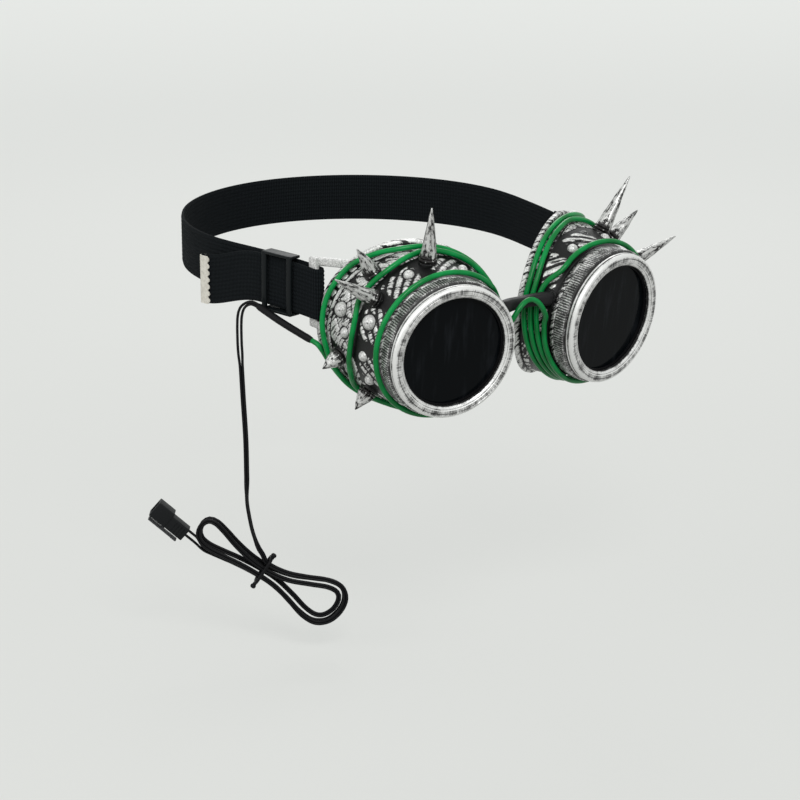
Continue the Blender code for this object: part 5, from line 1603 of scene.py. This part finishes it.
def fine_ring(side, looks):
    """The screw ring with its bevel, grooves and knurled grip, and its lens and gasket."""
    name = SIDES[side]
    frame = cup_matrix(side)
    gasket_front = RING_LIP_REAR - GAP
    gasket_rear = gasket_front - GASKET_THICKNESS
    lens_front = gasket_rear - GAP
    lens_rear = lens_front - LENS_THICKNESS
    recess = LENS_RADIUS + RING_CLEARANCE
    plain = [(OPENING_RADIUS, RING_LIP_REAR, 0.0)]
    plain += [(OPENING_RADIUS + out, RING_FRONT - back, share) for out, back, share in RING_BEVEL]
    plain += [(RING_FACE_RADIUS - inward, RING_FRONT - back, share) for inward, back, share in RING_EDGE]
    grip_front = RING_FRONT - RING_GRIP_FRONT
    grip = [(GRIP_INSET, grip_front, False)]
    for k in range(GRIP_STEPS + 1):
        run = (RING_REAR + 2 * GRIP_EDGE - grip_front) * k / GRIP_STEPS
        grip.append((0.0, grip_front - GRIP_EDGE + run, True))
    grip.append((GRIP_INSET, RING_REAR, False))
    inside = ((RING_BORE, RING_REAR), (RING_BORE, lens_rear), (recess, lens_rear), (recess, RING_LIP_REAR))

    def profile_at(turn):
        made = list(plain)
        ridge = 0.5 + 0.5 * math.cos(turn * KNURLS)
        for inset, height, grooved in grip:
            depth = KNURL_DEPTH * (1 - ridge) if grooved else KNURL_DEPTH
            # Painted shade: the knurls' grooves and the grip's stepped ends get little silver
            share = KNURL_SILVER * ridge if grooved else GROOVE_SILVER
            made.append((RING_RADIUS - inset - depth, height, share))
        return made + [(*place, 0.0) for place in inside]

    ring = turned(f"{name}_ring_knurled", profile_at, POINTS_PER_KNURL * KNURLS, side, frame)
    finish_piece(ring, looks["ring"], f"{name}_ring", [f"{name}_lens_ring"], sharp=30.0)
    outer, inner = LENS_RADIUS, LENS_RADIUS - GASKET_WIDTH
    profile = [(inner, gasket_front), (outer, gasket_front), (outer, gasket_rear), (inner, gasket_rear)]
    gasket = lathe(f"{name}_gasket_fine", rounded(profile, GASKET_ROUND), ROUND_SEGMENTS, frame)
    finish_piece(gasket, looks["rubber"], f"{name}_lens_unit", [f"{name}_lens_gasket"])
    profile = [(outer - LENS_EDGE, lens_front), (outer, lens_front)]
    profile += [(outer, lens_rear), (outer - LENS_BACK_EDGE, lens_rear)]
    profile = [(0, lens_front), *rounded(profile, LENS_ROUND), (0, lens_rear)]
    lens = lathe(f"{name}_lens_polished", profile, ROUND_SEGMENTS, frame)
    finish_piece(lens, looks["lens"], f"{name}_lens_unit", [f"{name}_lens"], sharp=40.0)


def fine_bridge(looks):
    """The link between the cups, bowed at the middle."""
    frames = {side: bridge_frame(side) for side in (LEFT, RIGHT)}
    start, end = [frame @ Vector((0, 0, BRIDGE_PAD + GAP)) for frame in frames.values()]
    tall, deep, start_out = [axis(frames[LEFT], k) for k in range(3)]
    end_out = axis(frames[RIGHT], 2)
    middle = Vector(BRIDGE_MIDDLE)
    reach = Vector((BRIDGE_HANDLE, 0, 0))
    mirror = Vector((-1, 1, 1))
    rings = []
    for k in range(BRIDGE_STEPS + 1):
        t = k / BRIDGE_STEPS
        if t <= 0.5:
            centre = bezier(start, start + start_out * BRIDGE_HANDLE, middle + reach, middle, 2 * t)
            side_tall, side_deep = tall, deep
        else:
            centre = bezier(middle, middle - reach, end + end_out * BRIDGE_HANDLE, end, 2 * t - 1)
            side_tall, side_deep = tall * mirror, deep * mirror
        blend = math.sin(math.pi * t)
        across = (side_deep * math.copysign(1, side_deep.y)).lerp(Vector((0, 1, 0)), blend)
        upright = (side_tall * math.copysign(1, side_tall.z)).lerp(UP, blend)
        half_deep = BRIDGE_HALF_DEPTH + BRIDGE_MIDDLE_DEEPER * blend
        half_tall = BRIDGE_HALF_HEIGHT - BRIDGE_MIDDLE_LOWER * blend
        shrink = 1.0 - BRIDGE_END_SHRINK * (k in (0, BRIDGE_STEPS))
        ring = []
        for j in range(BRIDGE_SEGMENTS):
            turn = math.tau * j / BRIDGE_SEGMENTS
            x, y = [math.copysign(abs(c) ** BRIDGE_SQUARENESS, c) for c in (math.cos(turn), math.sin(turn))]
            ring.append(centre + (across * half_deep * x + upright * half_tall * y) * shrink)
        rings.append(ring)
    bridge = loft("bridge_moulded", rings)
    depth = BRIDGE_PAD + GAP + BRIDGE_SCREW_REACH + 2 * GAP
    profile = ((0, 0), (SCREW_HOLE, 0), (SCREW_HOLE, depth), (0, depth))
    bores = [lathe(f"{SIDES[s]}_bridge_bore", profile, SCREW_SEGMENTS, spot) for s, spot in frames.items()]
    cut(bridge, bores)
    finish_piece(bridge, looks["bridge"], "frame", ["bridge"])


def fine_wire(looks):
    """The glowing wire, its sealed end and the sleeve over its splice."""
    path = wire_path()
    inward = (path[0] - path[1]).normalized() * (GAP + WIRE_IN_SLEEVE)
    route = smooth_path([path[0] + inward, *path], WIRE_SPACING)
    wire = raw_mesh("el_wire_jacket", *tube_shape(route, WIRE_DIAMETER / 2, CORD_SEGMENTS))
    finish_piece(wire, looks["wire"], "frame", ["el_wire"])
    along = (path[-1] - path[-2]).normalized()
    across = along.cross(UP).normalized()
    spot = frame_at(across, along.cross(across), along, path[-1] + along * GAP)
    profile = [(share * END_CAP_DIAMETER / 2, part * END_CAP_LENGTH) for share, part in CAP_PROFILE]
    profile = rounded([(0, 0), *profile, (0, END_CAP_LENGTH)], CAP_ROUND)
    cap = lathe("el_wire_end_cap_shrunk", profile, CAP_SEGMENTS, spot)
    finish_piece(cap, looks["rubber"], "frame", ["el_wire_end_cap"])
    route = smooth_path(sleeve_path(), SLEEVE_STEP)
    points, faces = tube_shape(route, SLEEVE_DIAMETER / 2, SLEEVE_SEGMENTS)
    for i, centre in enumerate(route):
        from_end = min(i, len(route) - 1 - i) * SLEEVE_STEP
        neck = 1.0 - SLEEVE_NECK * max(0.0, 1.0 - from_end / SLEEVE_END)
        neck -= SLEEVE_WAVE[0] * math.sin(i * SLEEVE_WAVE[1]) ** 2
        for k in range(i * SLEEVE_SEGMENTS, (i + 1) * SLEEVE_SEGMENTS):
            points[k] = centre + (points[k] - centre) * neck
    sleeve = raw_mesh("splice_sleeve", points, faces)
    finish_piece(sleeve, looks["rubber"], "frame", ["heat_shrink_sleeve"])


def webbing_section():
    """Half-height and thickness of the strap's section, with its lengthwise ribs."""
    flat, thick = STRAP_WIDTH / 2 - STRAP_EDGE, STRAP_THICKNESS / 2
    section = []
    steps = STRAP_RIBS * STRAP_RIB_POINTS
    for face in (1, -1):
        for k in range(steps + 1):
            height = (-flat + 2 * flat * k / steps) * face
            groove = 0.5 + 0.5 * math.cos(math.tau * k / STRAP_RIB_POINTS)
            section.append(((thick - STRAP_RIB_DEPTH * groove) * face, height))
        for k in range(1, STRAP_EDGE_STEPS):
            turn = math.pi * k / STRAP_EDGE_STEPS
            x = thick * STRAP_EDGE_SHARE * math.cos(turn)
            section.append((x * face, (flat + STRAP_EDGE * math.sin(turn)) * face))
    return section


def fine_strap(looks):
    """One length of ribbed elastic, and the stitches at its sewn end."""
    path = smooth_path(strap_path(), STRAP_SPACING)
    section = webbing_section()
    rings, lengths, run = [], [], 0.0
    for i, point in enumerate(path):
        along = path[min(i + 1, len(path) - 1)] - path[max(i - 1, 0)]
        out = Vector((along.y, -along.x, 0)).normalized()
        run += (point - path[i - 1]).length if i else 0.0
        rings.append([point + out * x + UP * z for x, z in section])
        lengths += [run] * len(section)
    strap = loft("strap_webbing", rings)
    store(strap, "along", lengths)
    finish_piece(strap, looks["webbing"], "frame", ["strap"], sharp=50.0)
    stitches = []
    off = -STRAP_LAYER + STRAP_THICKNESS + GAP + STRAP_THICKNESS / 2
    sewn = STRAP_WIDTH - STITCH_MARGIN
    for before_tail in STITCH_ROWS:
        s = STRAP_TURN_CENTRE + STRAP_FOLD_LENGTH - before_tail
        for stitch in range(STITCHES):
            z = strap_height(s) + (stitch + 0.5) / STITCHES * sewn - sewn / 2
            points = []
            for k in range(STITCH_STEPS + 1):
                t = k / STITCH_STEPS
                lift = STITCH_LIFT[0] + STITCH_LIFT[1] * math.sin(math.pi * t)
                points.append(strap_point(LEFT, s, off + lift, z + (t - 0.5) * STITCH_LENGTH))
            stitches.append(tube_shape(points, STITCH_RADIUS, STITCH_SEGMENTS))
    thread = join_shapes("strap_stitching", stitches)
    finish_piece(thread, looks["thread"], "frame")


def fine_slider(looks):
    """A moulded three-bar slider with rounded edges."""
    frame = slider_frame() @ Matrix.Rotation(math.radians(SLIDER_TILT), 4, "Y")
    half_length = SLIDER_LENGTH / 2
    inside = SLIDER_INNER_HEIGHT / 2
    outside = inside + SLIDER_RAIL
    low = STRAP_LAYER + STRAP_THICKNESS / 2 + SLIDER_STRAP_GAP
    high = low + SLIDER_BAR_THICKNESS
    inner = STRAP_LAYER - STRAP_THICKNESS / 2 - SLIDER_STRAP_GAP
    middle = SLIDER_MIDDLE_HALF
    rail_round, bar_round, middle_round = SLIDER_ROUND
    shapes = []
    for end in (-1, 1):
        z0, z1 = sorted((end * inside, end * outside))
        shapes.append(block_shape((-half_length, -inner, z0), (half_length, high, z1), rail_round, 3))
        x0, x1 = sorted((end * half_length, end * (half_length - SLIDER_BAR)))
        shapes.append(block_shape((x0, low, -outside), (x1, high, outside), bar_round, 4))
    shapes.append(block_shape((-middle, -inner, -outside), (middle, inner, outside), middle_round, 4))
    slider = join_shapes("strap_slider_moulded", shapes, frame)
    finish_piece(slider, looks["slider"], "slider", ["strap_slider"])


def fine_clamp(looks):
    """The toothed sheet clamp, folded over the strap's free end."""
    s_front = STRAP_FREE_END + GAP + CLAMP_SHEET - CLAMP_LENGTH
    place = on_strap(RIGHT, s_front, STRAP_LAYER, STRAP_DROOP)
    along, out = strap_axes(RIGHT)
    half = STRAP_WIDTH / 2 - CLAMP_EDGE_INSET
    inner = STRAP_THICKNESS / 2 + GAP
    outer = inner + CLAMP_SHEET
    bends = []
    for radius in (outer, inner):
        turns = [math.pi * (k / CLAMP_BEND_STEPS - 0.5) for k in range(CLAMP_BEND_STEPS + 1)]
        centre = CLAMP_LENGTH - outer
        bends.append([(centre + radius * math.cos(turn), radius * math.sin(turn)) for turn in turns])
    step = 2 * half / CLAMP_TEETH
    rows = [(-half, CLAMP_TOOTH)]
    for k in range(CLAMP_TEETH):
        low = -half + step * k
        rows += [(low + step * share, 0.0) for share in CLAMP_TOOTH_SHARES]
        rows.append((low + step, CLAMP_TOOTH))
    rings = []
    for row, inset in rows:
        outline = [(inset, -outer), *bends[0], (inset, outer), (inset, inner)]
        outline += [*reversed(bends[1]), (inset, -inner)]
        rings.append([Vector((x, row, z)) for x, z in outline])
    clamp = loft("strap_end_clamp_plate", rings, frame_at(along, UP, -out, place))
    finish_piece(clamp, looks["clamp"], "frame", ["strap_end_clamp"])


def lead_route():
    """The whole lead as one dense route, from the sleeve's end to the plug."""
    hank = hank_path()
    hanging = lead_path(hank)
    return smooth_path([*hanging[:-1], *hank[1:]], LEAD_SPACING)


def conductor_places(run, total):
    """The conductors' spacing, and how far their middle lies aside, at a distance along."""
    spacing, aside = LEAD_PAIR, 0.0
    for start, end, widest, ramp, shift in LEAD_SPLITS:
        start = start if start >= 0 else total + start
        share = ease(min(run - start, end - run) / ramp)
        spacing = max(spacing, LEAD_PAIR + (widest - LEAD_PAIR) * share)
        aside += shift * share
    return spacing, aside


def fine_lead(looks):
    """The twin lead: two round conductors side by side, turned edge-on lower down."""
    route = lead_route()
    view = axis(hank_frame(), 2)
    runs = [0.0]
    for a, b in zip(route, route[1:]):
        runs.append(runs[-1] + (b - a).length)
    total = runs[-1]
    low, high, ramp = LEAD_EDGE_ON
    sides = []
    for i, run in enumerate(runs):
        along = (route[min(i + 1, len(route) - 1)] - route[max(i - 1, 0)]).normalized()
        across = along.cross(view).normalized()
        turn = math.radians(LEAD_EDGE_TURN) * ease(min(run - low, high - run) / ramp)
        sides.append(across * math.cos(turn) + across.cross(along) * math.sin(turn))
    into_plug = (route[-1] - route[-2]).normalized() * CONDUCTOR_REACH
    shapes = []
    for way in (-1, 1):
        points = []
        for point, side, run in zip(route, sides, runs):
            spacing, aside = conductor_places(run, total)
            points.append(point + side * (aside + way * spacing / 2))
        points.append(points[-1] + into_plug)
        shapes.append(tube_shape(points, LEAD_CONDUCTOR / 2, CORD_SEGMENTS))
    lead = join_shapes("lead_twin", shapes)
    finish_piece(lead, looks["lead"], "frame", ["lead", "lead_hank"])


def fine_tie(looks):
    """The soft tie round the hank's waist, with its two knobs."""
    half_y, half_z = TIE_HALF
    path = []
    for quarter in range(4):
        sign_y = 1 if quarter in (0, 3) else -1
        sign_z = 1 if quarter in (0, 1) else -1
        for k in range(TIE_CORNER_STEPS + 1):
            turn = math.pi / 2 * (quarter + k / TIE_CORNER_STEPS)
            y = sign_y * (half_y - TIE_CORNER) + TIE_CORNER * math.cos(turn)
            z = sign_z * (half_z - TIE_CORNER) + TIE_CORNER * math.sin(turn)
            path.append(Vector((0, y + TIE_SHIFT, z)))
    shapes = [tube_shape(path, TIE_DIAMETER / 2, CORD_SEGMENTS, closed=True)]
    across = Vector((1, 0, 0))
    for end in (-1, 1):
        direction = Vector((0, end, 0))
        place = (0, TIE_SHIFT + end * half_y, KNOB_HEIGHT)
        spot = frame_at(across, direction.cross(across), direction, place)
        points, faces = lathe_shape(rounded(KNOB_PROFILE, KNOB_ROUND), KNOB_SEGMENTS)
        shapes.append(([spot @ point for point in points], faces))
    tie = join_shapes("hank_tie_soft", shapes, hank_frame())
    finish_piece(tie, looks["rubber"], "frame", ["hank_tie"], sharp=50.0)
    return tie


def fine_contact(number, at, tip, looks):
    """One contact of the plug: a crimped barrel behind a pin."""
    barrel = PLUG_BORE - GAP
    rear = PLUG_REAR[0]
    profile = [(0, PIN_START), (barrel, PIN_START)]
    profile += [(barrel * share, rear + height) for share, height in CONTACT_BARREL]
    profile += [(PIN_RADIUS, rear + PIN_SHOULDER), (PIN_RADIUS, tip - PIN_POINT)]
    profile = rounded([*profile, (PIN_RADIUS / 2, tip), (0, tip)], CONTACT_ROUND)
    contact = lathe(f"plug_contact_{number}", profile, CONTACT_SEGMENTS, at)
    return finish_piece(contact, looks["brass"], "frame", [f"connector_contact_{number}"])


def fine_latch(pivot, looks):
    """The plug's latch lever on its foot, with a hook and three ridges."""
    plate = LATCH_GAP - LATCH_PIVOT
    top = plate + LATCH_THICKNESS
    front = PLUG_FRONT[0] - LATCH_FRONT_SHORT
    rear = PLUG_REAR[0] - LATCH_REAR_SHORT
    half, foot, lap = LATCH_WIDTH / 2, LATCH_PIVOT_HALF, plate + LATCH_LAP
    hook = (front - LATCH_HOOK_LENGTH, plate - LATCH_HOOK_DEPTH, -half)
    lever_round, small_round = LATCH_ROUND
    wide = half - LATCH_RIDGE_SHORT
    shapes = [
        block_shape((-rear, plate, -half), (front, top, half), lever_round, 3),
        block_shape((-foot, GAP - LATCH_PIVOT + LATCH_FOOT_GAP, -half), (foot, lap, half), small_round),
        block_shape(hook, (front, lap, half), small_round),
    ]
    width, height = LATCH_RIDGE
    for ridge in range(LATCH_RIDGES):
        x = -rear + LATCH_RIDGE_START + ridge * LATCH_RIDGE_PITCH
        low, high = (x, top - LATCH_RIDGE_SINK, -wide), (x + width, top + height, wide)
        shapes.append(block_shape(low, high, small_round))
    latch = join_shapes("plug_latch_lever", shapes, pivot)
    return finish_piece(latch, looks["latch"], "latch", ["connector_latch"])


def fine_connector(looks):
    """The two-way plug with its socket, latch and contacts."""
    frame = connector_frame(hank_path())
    rear_y, rear_z = PLUG_REAR[1] / 2, PLUG_REAR[2] / 2
    front_low, front_z = rear_y - PLUG_FRONT[1], PLUG_FRONT[2] / 2
    rear, length = PLUG_REAR[0], PLUG_REAR[0] + PLUG_FRONT[0]
    wall = PLUG_WALL
    body_round, front_round = PLUG_ROUND
    high = (rear + PLUG_LAP, rear_y, rear_z)
    housing = block("plug_housing", (0, -rear_y, -rear_z), high, body_round, frame, 3)
    low, high = (rear, front_low, -front_z), (length, rear_y, front_z)
    cut(housing, [block("plug_front", low, high, front_round, frame, 3)], "UNION")
    floor = rear + PLUG_SOCKET_FLOOR
    low = (floor, front_low + wall, -front_z + wall)
    high = (length + wall, rear_y - wall, front_z - wall)
    cutters = [block("plug_socket", low, high, SOCKET_ROUND, frame)]
    side_y = rear_y - PLUG_RIB_MARGIN
    for rib in range(PLUG_RIBS):
        x = PLUG_RIB_START + rib * PLUG_RIB_PITCH
        for face in (-1, 1):
            z0, z1 = sorted((face * (rear_z - PLUG_RIB_DEPTH), face * (rear_z + PLUG_RIB_MARGIN)))
            low, high = (x, -side_y, z0), (x + PLUG_RIB_WIDTH, side_y, z1)
            cutters.append(block(f"plug_grip_{rib}_{face + 1}", low, high, GRIP_ROUND, frame))
    to_axis = Matrix(((0, 0, 1), (0, 1, 0), (-1, 0, 0))).to_4x4()
    bore = ((0, -wall), (PLUG_BORE, -wall), (PLUG_BORE, floor + wall), (0, floor + wall))
    pieces = [housing]
    for number, way in enumerate((-1, 1), 1):
        y = (front_low + rear_y) / 2 + way * PLUG_PITCH / 2
        at = frame @ Matrix.Translation(Vector((0, y, 0))) @ to_axis
        cutters.append(lathe(f"plug_bore_{number}", bore, BORE_SEGMENTS, at))
        pieces.append(fine_contact(number, at, length - PIN_SHORT, looks))
    cut(housing, cutters)
    finish_piece(housing, looks["connector"], "frame", ["connector_housing"])
    pivot = frame @ Matrix.Translation(Vector((rear, rear_y + LATCH_PIVOT, 0)))
    return pieces, fine_latch(pivot, looks)


def make_looks():
    """Every material, by its short name."""
    return {
        "cup": antique("cup_cast_finish", relief_share),
        "seat": antique("cup_seat_finish", lambda shader: SEAT_SILVER),
        "dome": antique("rivet_finish", lambda shader: DOME_SILVER, 0.2, 2.0, STROKES, 0.94, 1.02),
        "ear": antique("ear_finish", lambda shader: EAR_SILVER, 0.15, 1.2, low=0.88, high=1.04),
        "ring": ring_material(),
        "spike": spike_material(),
        "lens": lens_material(),
        "rubber": rubber_material("black_rubber_soft", RUBBER_BLACK, 0.5),
        "bridge": rubber_material("bridge_black_moulded", BRIDGE_BLACK, 0.42),
        "wire": wire_material(),
        "webbing": webbing_material(),
        "thread": rubber_material("black_thread", THREAD_GREY, 0.8),
        "slider": rubber_material("slider_black_moulded", SLIDER_BLACK, 0.38),
        "clamp": clamp_material(),
        "lead": rubber_material("lead_black_jacket", LEAD_BLACK, 0.42),
        "connector": rubber_material("plug_black", PLUG_BLACK, 0.5),
        "latch": rubber_material("latch_grey", LATCH_GREY, 0.42),
        "steel": metal_material("zinc_steel", STEEL, 0.32),
        "brass": metal_material("tinned_brass", BRASS, 0.28),
    }


def make_camera():
    """The photograph's viewpoint."""
    camera = bpy.data.objects.new("camera", bpy.data.cameras.new("camera"))
    camera.data.lens = CAMERA_LENS
    camera.data.clip_start = 0.05
    camera.location = Vector(CAMERA_PLACE) * MM
    camera.rotation_euler = (math.radians(CAMERA_PITCH), 0.0, math.radians(CAMERA_YAW))
    bpy.context.scene.collection.objects.link(camera)
    bpy.context.scene.camera = camera


def make_floor():
    """A pale floor below the hank, seen pale by the camera, metal and glass, with painted light: its glow
    grows brighter away from the camera.
    """
    work = bmesh.new()
    bmesh.ops.create_grid(work, size=FLOOR_HALF * MM)
    mesh = bpy.data.meshes.new("floor")
    work.to_mesh(mesh)
    work.free()
    floor = bpy.data.objects.new("floor", mesh)
    floor.location = (0.0, 0.0, cad_box[0][2] - FLOOR_DROP * MM)
    bpy.context.scene.collection.objects.link(floor)
    shader = Shader("pale_floor", FLOOR_COLOUR, 0.9)
    shader.matt(0.1)
    shader.feed("Emission Color", FLOOR_GLOW)
    x, y, _ = shader.split(shader.place())
    # Painted light: the glow grows from the near floor to the far floor
    away = shader.add(shader.math("MULTIPLY", x, FLOOR_FADE_WAY[0]), y, share=FLOOR_FADE_WAY[1])
    away = shader.band(away, *FLOOR_FADE)
    glow = shader.add(FLOOR_GLOW_NEAR, away, FLOOR_GLOW_FAR - FLOOR_GLOW_NEAR)
    shader.feed("Emission Strength", shader.math("MULTIPLY", shader.seen(), glow))
    mesh.materials.append(shader.material)


def make_light():
    """Soft studio light: a large panel above and in front, two fills, and a pale world."""
    for name, place, watts, size in LAMPS:
        lamp = bpy.data.lights.new(name, "AREA")
        lamp.energy = watts
        lamp.shape = "DISK"
        lamp.size = size * MM
        item = bpy.data.objects.new(name, lamp)
        item.location = Vector(place) * MM
        aim = Vector(LAMP_AIM) * MM - item.location
        item.rotation_euler = aim.to_track_quat("-Z", "Y").to_euler()
        bpy.context.scene.collection.objects.link(item)
    world = bpy.data.worlds.new("pale_room")
    nodes = Nodes(world)
    strength = nodes.node("MapRange", {"Value": nodes.seen(), "To Min": WORLD_STRENGTH, "To Max": 1.0})
    background = nodes.tree.nodes["Background"].inputs
    nodes.put(background["Color"], ROOM_COLOUR)
    nodes.put(background["Strength"], strength)
    bpy.context.scene.world = world
    bpy.context.scene.view_settings.view_transform = "Standard"


def main():
    """Camera and lead first, then every other piece, the stage and the light."""
    make_camera()
    looks = make_looks()
    tie = fine_tie(looks)
    plug_pieces, latch = fine_connector(looks)
    fine_lead(looks)
    fine_wire(looks)
    fine_strap(looks)
    fine_slider(looks)
    fine_clamp(looks)
    for side in (RIGHT, LEFT):
        fine_cup(side, looks)
        fine_studs(side, looks)
        fine_ring(side, looks)
    fine_bridge(looks)
    make_floor()
    make_light()


main()
